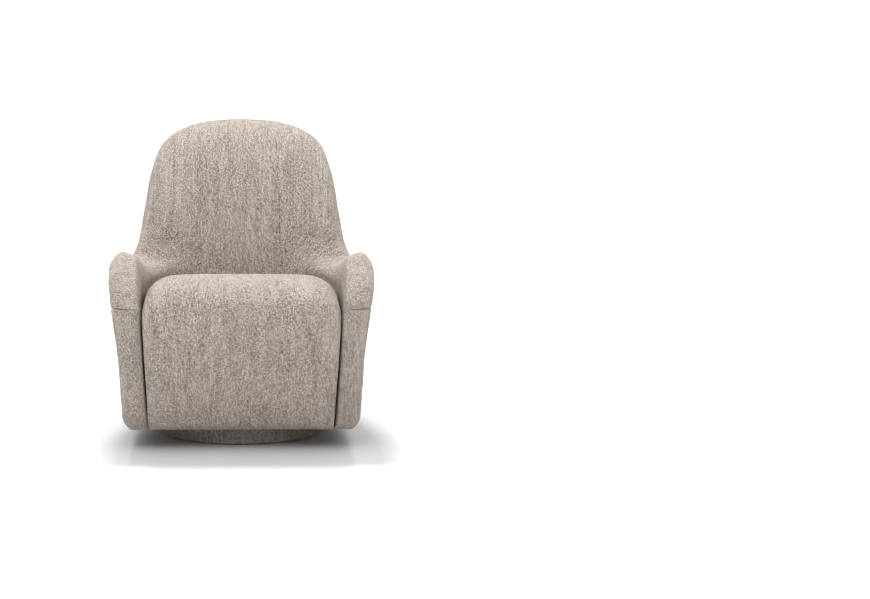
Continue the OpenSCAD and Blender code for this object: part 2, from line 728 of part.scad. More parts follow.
module link_bushes(y, low_gap) {
    color(nylon) both_sides() {
        bush(link_x, y, pivot_high_z, fit_gap);
        bush(link_x, y, pivot_low_z, low_gap);
    }
}

module left_front_link() {
    link(link_x, -pivot_span / 2);
}

module right_front_link() {
    link(-link_x - link_t, -pivot_span / 2);
}

module front_link_bushes() {
    link_bushes(-pivot_span / 2, fit_gap);
}

module left_rear_link() {
    link(link_x, pivot_span / 2);
}

module right_rear_link() {
    link(-link_x - link_t, pivot_span / 2);
}

module rear_link_bushes() {
    link_bushes(pivot_span / 2, open_pivot_gap);
}

// Glide rails on the chair

module at_rail_bolts() {
    for (y = [-rail_bolt_y, rail_bolt_y]) along_x(0, y, pivot_low_z) children();
}

module glide_rail_plate() {
    color(dark_steel) difference() {
        translate([glide_rail_x, -glide_rail_l / 2, pivot_low_z - glide_rail_h / 2])
            cube([glide_rail_t, glide_rail_l, glide_rail_h]);
        for (y = [-pivot_span / 2, pivot_span / 2])
            along_x(glide_rail_x - over, y, pivot_low_z)
                cylinder(r = pin_r + fit_gap, h = glide_rail_t + 2 * over);
        at_rail_bolts() translate([0, 0, glide_rail_x - over])
            cylinder(r = bolt_d / 2 + fit_gap, h = glide_rail_t + 2 * over);
    }
}

module left_glide_rail() {
    glide_rail_plate();
}

module right_glide_rail() {
    mirror([1, 0, 0]) glide_rail_plate();
}

module lower_pivot_pins() {
    shoulder = link_x + link_t + run_gap;
    color(steel) both_sides() for (y = [-pivot_span / 2, pivot_span / 2]) {
        along_x(bracket_x + 2 * run_gap, y, pivot_low_z)
            cylinder(r = pin_r, h = mech_rail_x - bracket_x - 2 * run_gap);
        along_x(shoulder, y, pivot_low_z) cylinder(d = rivet_head_d, h = glide_rail_x - shoulder);
    }
}

module rail_bolts() {
    color(steel) both_sides() at_rail_bolts() {
        translate([0, 0, glide_rail_x - bolt_head_h]) cylinder(d = bolt_head_d, h = bolt_head_h, $fn = 6);
        translate([0, 0, glide_rail_x]) cylinder(d = bolt_d, h = glide_rail_t + rail_t);
    }
}

// Timber frame

front_rail_y = front_rail_share * d_part;
rear_rail_y = rear_rail_share * d_part;
arm_panel_out = hem_half - hem_t - skin_gap;
arm_panel_in = arm_panel_out - ply_t;
arm_rail_t = 20;

// The lower rear rail stands clear behind the glider frame at the end of its glide
frame_clearance = 8;
low_rail_y = pivot_span / 2 + lobe_r + glide_reach + frame_clearance;
low_rail_line = [for (i = [0 : hem_turn_steps])
    let (p = plan_round(90 * i / hem_turn_steps, hem_t + skin_gap + base_rail_t)) [p.y, p.x]];
low_rail_half = lookup(low_rail_y + rail_t, low_rail_line) - skin_gap;
post_foot = frame_z + lower_rail_h;

module mechanism_rail() {
    length = low_rail_y - front_rail_y - rail_t;
    color(timber) difference() {
        translate([mech_rail_x, front_rail_y + rail_t, frame_z]) cube([rail_t, length, lower_rail_h]);
        at_rail_bolts() translate([0, 0, mech_rail_x - over])
            cylinder(r = bolt_d / 2 + fit_gap, h = rail_t + 2 * over);
    }
}

module left_mechanism_rail() {
    mechanism_rail();
}

module right_mechanism_rail() {
    mirror([1, 0, 0]) mechanism_rail();
}

module across_rail(y, z, h, half = arm_panel_in) {
    color(timber) translate([-half, y, z]) cube([2 * half, rail_t, h]);
}

module lower_front_rail() {
    across_rail(front_rail_y, frame_z, lower_rail_h);
}

module upper_front_rail() {
    across_rail(front_rail_y, deck_z - seat_rail_h, seat_rail_h);
}

module lower_rear_rail() {
    across_rail(low_rail_y, frame_z, lower_rail_h, low_rail_half);
}

module seat_rear_rail() {
    across_rail(rear_rail_y - rail_t, deck_z - seat_rail_h, seat_rail_h);
}

module front_panel() {
    half = front_panel_share * w_part;
    color(plywood) translate([-half, front_rail_y - ply_t, frame_z]) cube([2 * half, ply_t, deck_z - frame_z]);
}

module rear_base_rail() {
    outer = plan_line(hem_t + skin_gap, hem_turn);
    inner = plan_line(hem_t + skin_gap + base_rail_t, hem_turn);
    skip = hem_side_steps;
    outside = [for (i = [skip : len(outer) - 1 - skip]) outer[i]];
    inside = [for (i = [len(inner) - 1 - skip : -1 : skip]) inner[i]];
    color(plywood) translate([0, 0, frame_z]) linear_extrude(base_rail_h) polygon(concat(outside, inside));
}

// Turns an outline of back and up places into a board that stands across X
module board_across(x, t) {
    translate([x, 0, 0]) rotate([90, 0, 90]) linear_extrude(t) children();
}

module arm_panel_board(x) {
    front = hem_front + skin_gap;
    color(plywood) board_across(x, ply_t) polygon(concat(
        [[front, frame_z]],
        [for (p = arm_panel_shares) [p.x * d_part, level(p.y)]],
        [[rear_rail_y, frame_z]]));
}

module left_arm_panel() {
    arm_panel_board(arm_panel_in);
}

module right_arm_panel() {
    arm_panel_board(-arm_panel_out);
}

module arm_rail_bar() {
    y = arm_rail_shares[0] * d_part;
    z = level(arm_rail_shares[2]);
    color(timber) translate([arm_panel_out, y, z])
        cube([arm_rail_t, arm_rail_shares[1] * d_part - y, level(arm_rail_shares[3]) - z]);
}

module arm_rails() {
    both_sides() arm_rail_bar();
}

module post_board(x) {
    bend_z = level(post_bend_share);
    front = [for (p = post_front_shares) [p.x * d_part, level(p.y)]];
    color(timber) board_across(x, post_t) polygon(concat(
        [[rear_rail_y, post_foot], [rear_rail_y, bend_z]],
        front,
        [for (p = reversed(front)) [p.x + post_d, p.y]],
        [[rear_rail_y + post_d, bend_z], [rear_rail_y + post_d, post_foot]]));
}

module left_back_post() {
    post_board(post_share * w_part);
}

module right_back_post() {
    post_board(-post_share * w_part - post_t);
}

lumbar_y = post_front_shares[0].x * d_part;
module lumbar_rail() {
    half = post_share * w_part;
    color(timber) translate([-half, lumbar_y, level(lumbar_share)]) cube([2 * half, rail_t, seat_rail_h]);
}

// The crown board leans as the tops of the posts do
crown_low = post_front_shares[1];
crown_high = post_front_shares[2];
crown_run = (crown_high.x - crown_low.x) * d_part / (level(crown_high.y) - level(crown_low.y));
crown_lean = atan(crown_run);
crown_back_share = 33.9;
function crown_back(z) = crown_back_share * d_part + (z - level(crown_low_share)) * crown_run;

module crown_board() {
    half = post_share * w_part - skin_gap;
    rise = (level(crown_high_share) - level(crown_low_share)) / cos(crown_lean);
    shoulder = (level(post_top_share) - level(crown_low_share)) / cos(crown_lean);
    corner = half - rise + shoulder;
    color(plywood) translate([0, crown_back(level(crown_low_share)), level(crown_low_share)])
        rotate([90 - crown_lean, 0, 0]) linear_extrude(crown_t)
            polygon([[-half, 0], [half, 0], [half, shoulder], [corner, rise], [-corner, rise], [-half, shoulder]]);
}

// Ribs behind the back follow the middle line of the outside panel
rib_inset = 22;
rib_d = 45;
rib_top_share = 0.94;
rib_steps = 6;
function rib_out(t) =
    let (s = pow(t, bulge_skew),
         foot = panel_foot(top_station),
         seam = place(seam_shares[top_station]),
         p = mix(foot, seam, t))
    [p.y + side_bulge_shares[top_station] * w_part * 4 * s * (1 - s) - rib_inset, p.z];

module rib_board(x) {
    foot = rib_out(0);
    outer = [for (i = [0 : rib_steps]) rib_out(rib_top_share * i / rib_steps)];
    inner = [for (i = [rib_steps - 2 : -1 : 1]) [outer[i].x - rib_d, outer[i].y]];
    base_z = frame_z + base_rail_h;
    high = outer[rib_steps].y;
    low = level(crown_low_share) + frame_lift;
    color(plywood) board_across(x, rib_t) polygon(concat(
        outer,
        [[crown_back(high), high], [crown_back(low), low]],
        inner,
        [[foot.x - rib_d / 2, base_z], [foot.x, base_z]]));
}

module back_ribs() {
    both_sides() rib_board(rib_share * w_part);
}

// Springs, felt and webbing

spring_front = front_rail_y + rail_t / 2;
spring_back = rear_rail_y - rail_t / 2;
function spring_path(x) =
    let (steps = wave_count * points_per_bend,
         from = spring_front + clip_d,
         to = spring_back - clip_d)
    concat(
        [[x, spring_front - clip_d / 2, spring_z], [x, spring_front + clip_d / 2, spring_z]],
        [for (i = [0 : steps])
            [x + wave_w / 2 * sin(180 * i / points_per_bend), mix(from, to, i / steps),
             spring_z + spring_arch * sin(180 * i / steps)]],
        [[x, spring_back - clip_d / 2, spring_z], [x, spring_back + clip_d / 2, spring_z]]);
wire_section = [for (i = [0 : wire_sides - 1])
    [wire_d / 2 * cos(360 / wire_sides * i), wire_d / 2 * sin(360 / wire_sides * i)]];

module at_springs() {
    for (i = [0 : spring_count - 1]) translate([(i - (spring_count - 1) / 2) * spring_pitch, 0, 0]) children();
}

module seat_springs() {
    color(steel) at_springs() sweep(spring_path(0), wire_section);
}

module spring_clips() {
    slot = wire_d + 2 * wire_lift;
    color(dark_steel) at_springs() for (y = [spring_front, spring_back]) difference() {
        translate([-clip_w / 2, y - clip_d / 2, deck_z]) cube([clip_w, clip_d, clip_h]);
        translate([-slot / 2, y - clip_d / 2 - over, deck_z - over]) cube([slot, clip_d + 2 * over, slot + over]);
    }
}

module spring_felt() {
    half = front_panel_share * w_part;
    color(shade_cloth) translate([-half, front_rail_y, felt_z])
        cube([2 * half, core_top_shares[len(core_top_shares) - 1] * d_part - front_rail_y, felt_t]);
}

module back_webbing() {
    z0 = level(lumbar_share);
    z1 = z0 + seat_rail_h;
    z2 = level(crown_low_share);
    z3 = z2 + strap_w;
    y0 = lumbar_y;
    y2 = crown_back(z2) - crown_t / cos(crown_lean);
    y3 = y2 + strap_w * crown_run;
    color(shade_cloth) for (i = [0 : strap_count - 1])
        board_across((i - (strap_count - 1) / 2) * strap_pitch - strap_w / 2, strap_w)
            polygon([[y0, z0], [y0, z1], [y2, z2], [y3, z3],
                     [y3 - strap_t, z3], [y2 - strap_t, z2], [y0 - strap_t, z1], [y0 - strap_t, z0]]);
}

// Padding and covers

pad_top = cover_t + skin_gap;

module pad(grid, padding, turn) {
    depths = [for (row = grid) [for (p = padding_line(padding)) pad_top + p]];
    color(foam_yellow) slab(sink(grid, even(grid, pad_top)), sink(grid, depths), turn);
}

module cover(grid, turn) {
    color(cloth) slab(grid, sink(grid, even(grid, cover_t)), turn);
}

function middle(grid) = (len(grid) - 1) / 2;

module left_arm_pad() {
    pad(arm_grid, arm_padding_shares * w_part, len(arm_grid));
}

module right_arm_pad() {
    mirror([1, 0, 0]) left_arm_pad();
}

module back_pad() {
    pad(back_grid, back_padding_shares * w_part, middle(back_grid));
}

module inner_cover() {
    cover(inner_grid, middle(inner_grid));
}

module left_arm_front_cover() {
    cover(arm_front_grid, len(arm_front_grid));
}

module right_arm_front_cover() {
    mirror([1, 0, 0]) left_arm_front_cover();
}

module outer_cover() {
    cover(panel_grid, middle(panel_grid));
}

module seat_cover() {
    cover(seat_grid, seat_rows);
}

module seat_foam() {
    outer = sink(seat_grid, even(seat_grid, pad_top));
    color(foam_yellow) slab(outer, [for (i = [0 : seat_rows - 1]) core_line(i, outer)], seat_rows);
}

hem_sides = 12;
module hem_roll() {
    section = [for (i = [0 : hem_sides - 1])
        [hem_t / 2 * cos(360 / hem_sides * i), hem_h / 2 * sin(360 / hem_sides * i)]];
    path = [for (p = plan_line(hem_t / 2, hem_front)) [p.x, p.y, body_lift + hem_h / 2]];
    color(cloth) sweep(path, section);
}

// Cloth under the frame, open where the glider frame comes down through it
dust_t = 1.5;
dust_margin = 10;
module dust_cover() {
    half_x = bracket_x + dust_margin;
    half_y = pivot_span / 2 + lobe_r + glide_reach + dust_margin;
    z = frame_z - skin_gap - dust_t;
    color(rubber_black) difference() {
        translate([0, 0, z]) linear_extrude(dust_t) polygon(plan_line(hem_t + 2 * skin_gap, front_rail_y));
        translate([-half_x, -half_y, z - over]) cube([2 * half_x, 2 * half_y, dust_t + 2 * over]);
    }
}

foot_ring();
plinth_bottom_board();
plinth_drum();
plinth_top_board();
plinth_foam_band();
plinth_cover();
bearing_lower_ring();
bearing_balls();
ball_cage();
bearing_screws();
bearing_upper_ring();
front_cross_tube();
rear_cross_tube();
left_hanger_bracket();
right_hanger_bracket();
upper_pivot_pins();
pivot_washers();
swivel_bolts();
stop_bumpers();
left_front_link();
right_front_link();
front_link_bushes();
left_rear_link();
right_rear_link();
rear_link_bushes();
left_glide_rail();
right_glide_rail();
lower_pivot_pins();
rail_bolts();
left_mechanism_rail();
right_mechanism_rail();
lower_front_rail();
upper_front_rail();
front_panel();
lower_rear_rail();
seat_rear_rail();
rear_base_rail();
left_arm_panel();
right_arm_panel();
arm_rails();
left_back_post();
right_back_post();
lumbar_rail();
crown_board();
back_ribs();
seat_springs();
spring_clips();
spring_felt();
back_webbing();
seat_foam();
left_arm_pad();
right_arm_pad();
back_pad();
seat_cover();
inner_cover();
left_arm_front_cover();
right_arm_front_cover();
outer_cover();
hem_roll();
dust_cover();
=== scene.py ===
# Swivel glider chair: the upholstery, the finishes, the floor, the light and the camera
import json
import math

import bpy
import numpy as np
from mathutils import Matrix, Vector


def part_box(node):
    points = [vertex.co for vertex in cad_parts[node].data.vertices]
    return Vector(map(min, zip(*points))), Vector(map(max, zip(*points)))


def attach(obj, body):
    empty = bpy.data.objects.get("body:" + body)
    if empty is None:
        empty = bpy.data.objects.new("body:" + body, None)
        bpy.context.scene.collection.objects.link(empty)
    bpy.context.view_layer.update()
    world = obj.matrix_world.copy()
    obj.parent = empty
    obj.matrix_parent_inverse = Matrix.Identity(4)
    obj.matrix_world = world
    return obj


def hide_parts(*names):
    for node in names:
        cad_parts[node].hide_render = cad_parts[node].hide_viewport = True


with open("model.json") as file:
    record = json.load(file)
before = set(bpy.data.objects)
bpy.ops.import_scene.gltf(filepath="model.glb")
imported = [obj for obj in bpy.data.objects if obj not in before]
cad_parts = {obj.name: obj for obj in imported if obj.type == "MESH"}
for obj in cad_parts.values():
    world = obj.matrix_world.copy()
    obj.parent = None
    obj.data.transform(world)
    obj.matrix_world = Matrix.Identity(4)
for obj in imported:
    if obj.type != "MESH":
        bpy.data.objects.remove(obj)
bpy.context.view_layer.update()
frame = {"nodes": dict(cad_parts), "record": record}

mm = 0.001
cm = 0.01

# Cloth, padding and seams
cloth_thick = 3.4 * mm
pad_gap = 4.3 * mm
roll_seam_depth = 7.5 * mm
roll_seam_width = 21 * mm
roll_seam_fade = 0.55
panel_seam_depth = 6 * mm
panel_seam_width = 14 * mm
join_seam_depth = 2.4 * mm
join_seam_width = 8 * mm
foot_turn_depth = 2 * mm
foot_turn_width = 9 * mm
body_lift = 5.2 * cm
hem_height = 41 * mm
hem_thick = 14 * mm
hold_off_width = 50 * mm
stitch_width = 7 * mm
cloth_slack = 1.6 * mm
cloth_stiffness = 600
cloth_bending = 50
padding_pressure = 4
press_frames = 20
press_quality = 5
press_step = 3
press_cap = 5 * mm
foam_give = 1 * mm
pile_sink = 0.9 * mm
broad_lump = 90 * mm
broad_height = 1.2 * mm
small_lump = 32 * mm
small_height = 0.5 * mm
loop_lump = 9 * mm
loop_height = 0.45 * mm

# Guide curves of the upholstery in centimetres: across, back and up, from the foot of an arm
# front, over the arm and up to the middle of the top
seam_shares = [
    [31.5, -26.2, 9.3], [31.9, -29.2, 10.9], [32.5, -31, 15], [33.4, -31.4, 27], [35.2, -28.8, 38.9],
    [36.3, -24.8, 43.2], [36.6, -19.6, 45.5], [36.6, -14, 46.1], [36.4, -6.6, 44.5],
    [35.7, 0.8, 42.7], [34.8, 8, 42.2], [33.8, 14, 42.7], [32.4, 19, 44.7],
    [30.5, 25, 50], [28.6, 30.3, 59], [26.3, 36, 68], [21.2, 42.3, 74.3],
    [11.8, 47.1, 77.9], [0, 49.2, 78.7]]
bulge_shares = [
    [32.2, -26.8, 7], [32.8, -31.1, 8.9], [33, -33.5, 15], [33.8, -34.3, 27], [35.6, -32.2, 39.9],
    [36.5, -28, 45.4], [36.8, -21.6, 48.8], [36.8, -14.3, 49.9], [36.6, -6.4, 48.3],
    [35.9, 1.2, 46.2], [34.9, 8.2, 45.3], [33.5, 14, 45.6], [31.6, 18, 47.6],
    [29.9, 23, 52.6], [28.5, 28, 61.3], [26.8, 33.8, 70.3], [23, 41.8, 78],
    [13.2, 48.1, 81.5], [0, 50.5, 81.4]]
crest_shares = [
    [30.9, -27.2, 5.1], [30.4, -32.4, 7.5], [29.5, -35.4, 15], [30.2, -36.3, 27], [31.6, -34.4, 39.8],
    [32.6, -30.3, 45.8], [33.4, -22.9, 50.6], [33.8, -14.8, 53.1], [33.4, -6.4, 51.8],
    [32.5, 1.4, 49.5], [31.3, 8.4, 47.7], [29.7, 13.8, 48.1], [28.6, 16.7, 51],
    [27.5, 20.2, 56.8], [26.5, 24.6, 64.4], [25, 30.2, 73], [20.9, 37.2, 80.9],
    [12, 44, 84.6], [0, 46.6, 85.1]]
ridge_shares = [
    [27.6, -27.4, 5], [27.1, -32.2, 7.5], [26.9, -34.4, 15], [27.5, -35.3, 27], [28.5, -33.5, 40],
    [29.1, -29.7, 45.5], [29.4, -22.7, 49.9], [29.6, -14.8, 52], [29.3, -6.4, 50.5],
    [28.3, 1.2, 48.2], [26.9, 7.9, 46.7], [25.3, 12.9, 47], [24.7, 15.5, 50.4],
    [24.2, 18.7, 56.6], [23.2, 23.1, 64.2], [21.1, 28.1, 72.2], [16.9, 33.2, 79.2],
    [9.7, 37.7, 82.8], [0, 39.8, 83.4]]
face_shares = [
    [25.8, -27.2, 5.1], [25.9, -31.3, 7.8], [26.2, -32.7, 15], [27, -33.4, 27], [27.8, -31.7, 39.6],
    [28.1, -28.5, 43.9], [28.2, -21.9, 47.3], [28.2, -14.6, 49.4], [27.6, -6.5, 48],
    [26.6, 0.8, 46.4], [25, 7.3, 45.4], [22.6, 12.2, 46.1], [20.1, 15.1, 49],
    [18.3, 18.4, 54.4], [16.1, 22.2, 60.8], [13.1, 26.1, 67.6], [9.4, 29.4, 73.2],
    [4.9, 31.7, 76.4], [0, 32.5, 77.4]]
inner_shares = [
    [25.5, -26.9, 5.3], [25.7, -29.9, 8.5], [26.1, -30.7, 15], [26.9, -31.2, 27], [27.6, -29.8, 39.1],
    [27.7, -26.5, 42], [27.7, -20.6, 44], [27.6, -14.2, 45], [26.9, -6.6, 44.6],
    [25.9, 0.4, 43.8], [24.2, 6.8, 43.6], [21.3, 11.6, 44], [17.5, 14.2, 45.6],
    [13.5, 16.3, 48], [9.9, 18.1, 50.6], [6.8, 19.4, 53], [4.2, 20.3, 54.6],
    [2, 20.8, 55.6], [0, 21, 56]]
low_shares = [
    [25.5, -26.7, 5.5], [25.6, -28.6, 9.1], [26.1, -28.7, 15], [26.9, -28.9, 27], [27.6, -27.9, 38.5],
    [27.7, -24.6, 40], [27.7, -18.9, 41], [27.7, -13.6, 41.4], [27.1, -6.8, 41.2],
    [26.3, -0.1, 41], [24.5, 6.3, 41], [21.5, 11.3, 41], [17, 14, 42],
    [12.6, 14.9, 42.6], [8.8, 15.2, 43], [5.9, 15.4, 43.2], [3.6, 15.5, 43.4],
    [1.7, 15.5, 43.5], [0, 15.5, 43.5]]
tuck_shares = [
    [25.5, -26.5, 5.7], [25.6, -26.9, 9.5], [26.1, -26.9, 15], [26.9, -26.9, 27], [27.6, -26.3, 37.9],
    [27.7, -22.9, 38], [27.7, -17.2, 38], [27.7, -13, 38], [27.4, -7, 38],
    [26.6, -0.6, 38], [24.7, 5.9, 38], [21.5, 11, 38], [17, 13.8, 38], [12.6, 14.5, 38],
    [8.8, 14.8, 38], [5.9, 14.8, 38], [3.6, 14.8, 38], [1.7, 14.8, 38], [0, 14.8, 38]]
arm_padding_shares = [0.6, 1.2, 1.8, 1.4, 0.6, 0.5, 0.5, 0.5]
back_padding_shares = [0.8, 1.6, 2.4, 3, 4, 4, 3.6, 2.4]
side_bulge_shares = [
    -0.1, -0.2, -0.8, -0.8, -0.8, -0.8, -0.8, -0.8, -0.8, -0.8, -0.8,
    -0.4, 0.4, 1.2, 2, 2.6, 3.1, 3.4, 3.6]
join_station = 4
arm_end_station = 11
top_station = len(seam_shares) - 1
join_gap_share = 0.02
join_fade_share = 0.85
join_fade_start = 1.9
join_fade_reach = 1.3
crest_guide = 2
back_map_start = 9
back_map_stations = 4
seam_gap = 2.1 * mm
seam_gap_fade = 0.8
seam_gap_stations = 3
roll_fade_start = 14
roll_fade_stations = 4
side_front_share = 0.35
bulge_skew = 1.05

# Plan of the hem: straight sides, then a superellipse round the back
hem_half = 31.8 * cm
hem_turn = 13 * cm
hem_back = 38.3 * cm - hem_turn
hem_front = -27 * cm
hem_reach = 1.2 * cm
hem_power = 2 / 2.3
panel_dip = 3 * mm
panel_inset = 4 * mm

# Seat: each row is back, up and half width, and its rounding is across, deep and skirt
seat_shares = [
    [-28.2, 5.1, 25.7], [-30.9, 5.9, 25.8], [-33.2, 8.4, 25.95], [-35.4, 15, 26.3], [-36.7, 22.5, 26.75],
    [-37.4, 30, 27.1], [-37.1, 36.5, 27.45], [-35.2, 41.8, 27.5], [-31.2, 45.4, 27.4],
    [-24.5, 47, 27.2], [-16, 46.9, 27.2],
    [-6.5, 45.6, 27], [0.8, 44.5, 25.9], [6.6, 43.6, 23.8], [10.8, 42.9, 21],
    [13.2, 42, 17.6], [13.9, 40.3, 16.2]]
seat_round_shares = [
    [0.7, 0.6, 1.3], [0.75, 0.7, 2.5], [0.8, 0.8, 4], [0.95, 0.9, 4.9], [1.3, 1.2, 4.9],
    [2.3, 2, 4.2], [4, 3.6, 3.2], [6.2, 5.4, 2.9], [8.2, 6.9, 2.7], [9, 7.4, 2.7], [9, 7.4, 2.7],
    [9, 7.2, 2.7], [8.6, 6.4, 2.7], [8, 5, 2.5], [7, 3.6, 1.2],
    [5.6, 2.2, 0.8], [4.6, 1.2, 0.5]]
core_front_shares = [6, 7.4, 9.6, 14.5, 20, 25, 28.5]
core_top_shares = [-27.6, -24, -20.5, -14.5, -6.3, 0.6, 5.8, 9, 10.8, 11.6]


# Curves and grids
least_length = 1e-12
noise_cells = 64


def bend(a, b, c, d, t):
    return 0.5 * (2 * b + (c - a) * t + (2 * a - 5 * b + 4 * c - d) * t ** 2
                  + (3 * b - a - 3 * c + d) * t ** 3)


def along(rows, places):
    """The smooth curve through rows at each place, where row 0 is place 0."""
    rows = np.asarray(rows, float)
    ends = [2 * rows[:1] - rows[1:2], rows, 2 * rows[-1:] - rows[-2:-1]]
    padded = np.concatenate(ends)
    places = np.asarray(places, float)
    i = np.clip(np.floor(places).astype(int), 0, len(rows) - 2)
    t = (places - i).reshape((-1,) + (1,) * (rows.ndim - 1))
    return bend(padded[i], padded[i + 1], padded[i + 2], padded[i + 3], t)


def marks(counts, first=0):
    """Places between whole stations: counts[k] of them after station first + k."""
    found = [first + k + np.arange(n) / n for k, n in enumerate(counts)]
    return np.concatenate(found + [[first + len(counts)]])


def unit(v):
    return v / np.maximum(np.linalg.norm(v, axis=-1, keepdims=True), least_length)


def outward(grid):
    return unit(np.cross(np.gradient(grid, axis=0), np.gradient(grid, axis=1)))


def run(grid, axis):
    """Distance along the grid from its first row (axis 0) or column (axis 1)."""
    step = np.linalg.norm(np.diff(grid, axis=axis), axis=2)
    first = np.zeros_like(step[:1] if axis == 0 else step[:, :1])
    return np.cumsum(np.concatenate([first, step], axis=axis), axis=axis)


def mirrored(grid):
    return grid[:, ::-1] * np.array([-1, 1, 1])


def groove(distance, width, depth):
    """How far a surface turns in, at a distance from its sewn edge."""
    return depth * np.clip(1 - distance / width, 0, 1) ** 2


def sewn_in(us, distance, width):
    """How far cloth beside the side seam is drawn in with it, as a shift, at a distance from it."""
    pulled = np.stack([np.interp(us, sewn_u, sewn[:, k]) for k in range(3)], axis=-1)
    return pulled[:, None] * groove(distance, width, 1)[..., None]


def lumps(points, size, seed):
    """Smooth noise from -1 to 1, with lumps about one size across."""
    values = np.random.default_rng(seed).uniform(-1, 1, [noise_cells] * 3)
    p = points / size + noise_cells / 2
    base = np.floor(p).astype(int)
    t = p - base
    t = t * t * (3 - 2 * t)
    total = 0
    for corner in np.ndindex(2, 2, 2):
        w = np.prod(np.where(corner, t, 1 - t), axis=-1)
        k = (base + corner) % noise_cells
        total = total + w * values[k[..., 0], k[..., 1], k[..., 2]]
    return total


guides = np.stack([np.array(g, float) for g in (
    seam_shares, bulge_shares, crest_shares, ridge_shares,
    face_shares, inner_shares, low_shares, tuck_shares)], axis=1) * cm
guides = np.concatenate([guides, guides[-2::-1] * np.array([-1, 1, 1])])


def roll_surface(us, vs):
    """The arm roll and inside back: us along the stations, vs across the guides."""
    lines = along(guides, us)
    return np.moveaxis(along(np.moveaxis(lines, 1, 0), vs), 1, 0)


def plan_round(angle, inset):
    return np.stack([
        (hem_half - inset) * np.sign(np.cos(angle)) * np.abs(np.cos(angle)) ** hem_power,
        hem_turn + (hem_back - inset) * np.abs(np.sin(angle)) ** hem_power], axis=-1)


def panel_foot(us):
    """Foot of the outside panel under each station."""
    us = np.asarray(us, float)
    near = np.minimum(us, 2 * top_station - us)
    straight = np.stack([
        np.full_like(near, hem_half - panel_inset),
        hem_front + (hem_turn - hem_front) * near / arm_end_station], axis=-1)
    angle = math.pi / 2 * (near - arm_end_station) / (top_station - arm_end_station)
    foot = np.where((near <= arm_end_station)[:, None], straight,
                    plan_round(np.clip(angle, 0, math.pi / 2), panel_inset))
    foot[:, 0] *= np.where(us > top_station, -1, 1)
    height = np.full((len(us), 1), body_lift + hem_height - panel_dip)
    return np.concatenate([foot, height], axis=1)


def panel_surface(us, ts):
    """The outside panel: us along the stations, ts from the hem up to the side seam."""
    step = 0.5
    foot, before, after = (panel_foot(us + k) for k in (0, -step, step))
    flow = after - before
    out = unit(np.stack([flow[:, 1], -flow[:, 0], np.zeros(len(us))], axis=-1))
    seam = along(guides[:, 0], us)
    table = np.array(side_bulge_shares + side_bulge_shares[-2::-1]) * cm
    bulge = np.interp(us, np.arange(len(table)), table)
    near = np.minimum(us, 2 * top_station - us)
    gap = seam_gap * (1 - seam_gap_fade * np.clip((near - arm_end_station) / seam_gap_stations, 0, 1))
    t = ts[None, :, None] * (1 - gap / np.linalg.norm(seam - foot, axis=1))[:, None, None]
    s = t ** bulge_skew
    flat = foot[:, None] * (1 - t) + seam[:, None] * t
    return flat + out[:, None] * bulge[:, None, None] * 4 * s * (1 - s)


def seat_surface(rows, skirt_steps, round_steps, flat_steps):
    """The seat: rows from the foot of the apron to the inside back, and one row across."""
    table = along(seat_shares, rows) * cm
    rounds = along(seat_round_shares, rows) * cm
    center = np.stack([np.zeros(len(rows)), table[:, 0], table[:, 1]], axis=-1)
    way = unit(np.gradient(center, axis=0))
    inward = np.stack([np.zeros(len(rows)), way[:, 2], -way[:, 1]], axis=-1)
    half, across, deep, skirt = table[:, 2], *rounds.T
    flat = half - across
    turn = np.linspace(math.pi / 2, 0, round_steps + 1)
    x = [np.tile(half[:, None], skirt_steps), flat[:, None] + across[:, None] * np.sin(turn)]
    sunk = [deep[:, None] + skirt[:, None] * np.linspace(1, 1 / skirt_steps, skirt_steps),
            deep[:, None] * (1 - np.cos(turn))]
    middle = np.linspace(1, 0, flat_steps + 1)[1:]
    x.append(flat[:, None] * middle)
    sunk.append(np.zeros((len(rows), flat_steps)))
    x, sunk = (np.concatenate(part, axis=1) for part in (x, sunk))
    grid = center[:, None] + inward[:, None] * sunk[..., None]
    grid[..., 0] = x
    other = grid[:, -2::-1] * np.array([-1, 1, 1])
    return np.concatenate([grid, other], axis=1)


# The side seam is drawn in evenly between the roll and the panel that it joins
sewn_steps = 40
roll_edge_share = 0.1
panel_edge_start = 0.97
sewn_u = np.linspace(0, 2 * top_station, sewn_steps * top_station + 1)
roll_edge = roll_surface(sewn_u, [0, roll_edge_share])
panel_edge = panel_surface(sewn_u, np.array([panel_edge_start, 1]))
seam_flow = np.gradient(roll_edge[:, 0], axis=0)
roll_out = unit(np.cross(seam_flow, roll_edge[:, 1] - roll_edge[:, 0]))
panel_out = unit(np.cross(seam_flow, panel_edge[:, 1] - panel_edge[:, 0]))
from_front = np.minimum(sewn_u, 2 * top_station - sewn_u)
seam_fade = 1 - roll_seam_fade * np.clip((from_front - roll_fade_start) / roll_fade_stations, 0, 1)
sewn = -roll_seam_depth * unit(roll_out + panel_out) * seam_fade[:, None]


# Nodes, for the materials and the geometry trees
def node(tree, kind, inputs=None, **settings):
    """A node with its settings, and each input given a value or linked to a socket."""
    made = tree.nodes.new(kind)
    for key, value in settings.items():
        setattr(made, key, value)
    for key, value in (inputs or {}).items():
        if isinstance(value, bpy.types.NodeSocket):
            tree.links.new(value, made.inputs[key])
        else:
            made.inputs[key].default_value = value
    return made


def math_node(tree, operation, a, b=0.0):
    return node(tree, "ShaderNodeMath", {0: a, 1: b}, operation=operation).outputs[0]


def times(tree, a, b):
    return math_node(tree, "MULTIPLY", a, b)


def plus(tree, a, b):
    return math_node(tree, "ADD", a, b)


def minus(tree, a, b):
    return math_node(tree, "SUBTRACT", a, b)


def noise(tree, place, scale, detail):
    return node(tree, "ShaderNodeTexNoise", {"Vector": place, "Scale": scale, "Detail": detail}).outputs[0]


def cells(tree, place, scale):
    return node(tree, "ShaderNodeTexVoronoi", {"Vector": place, "Scale": scale})


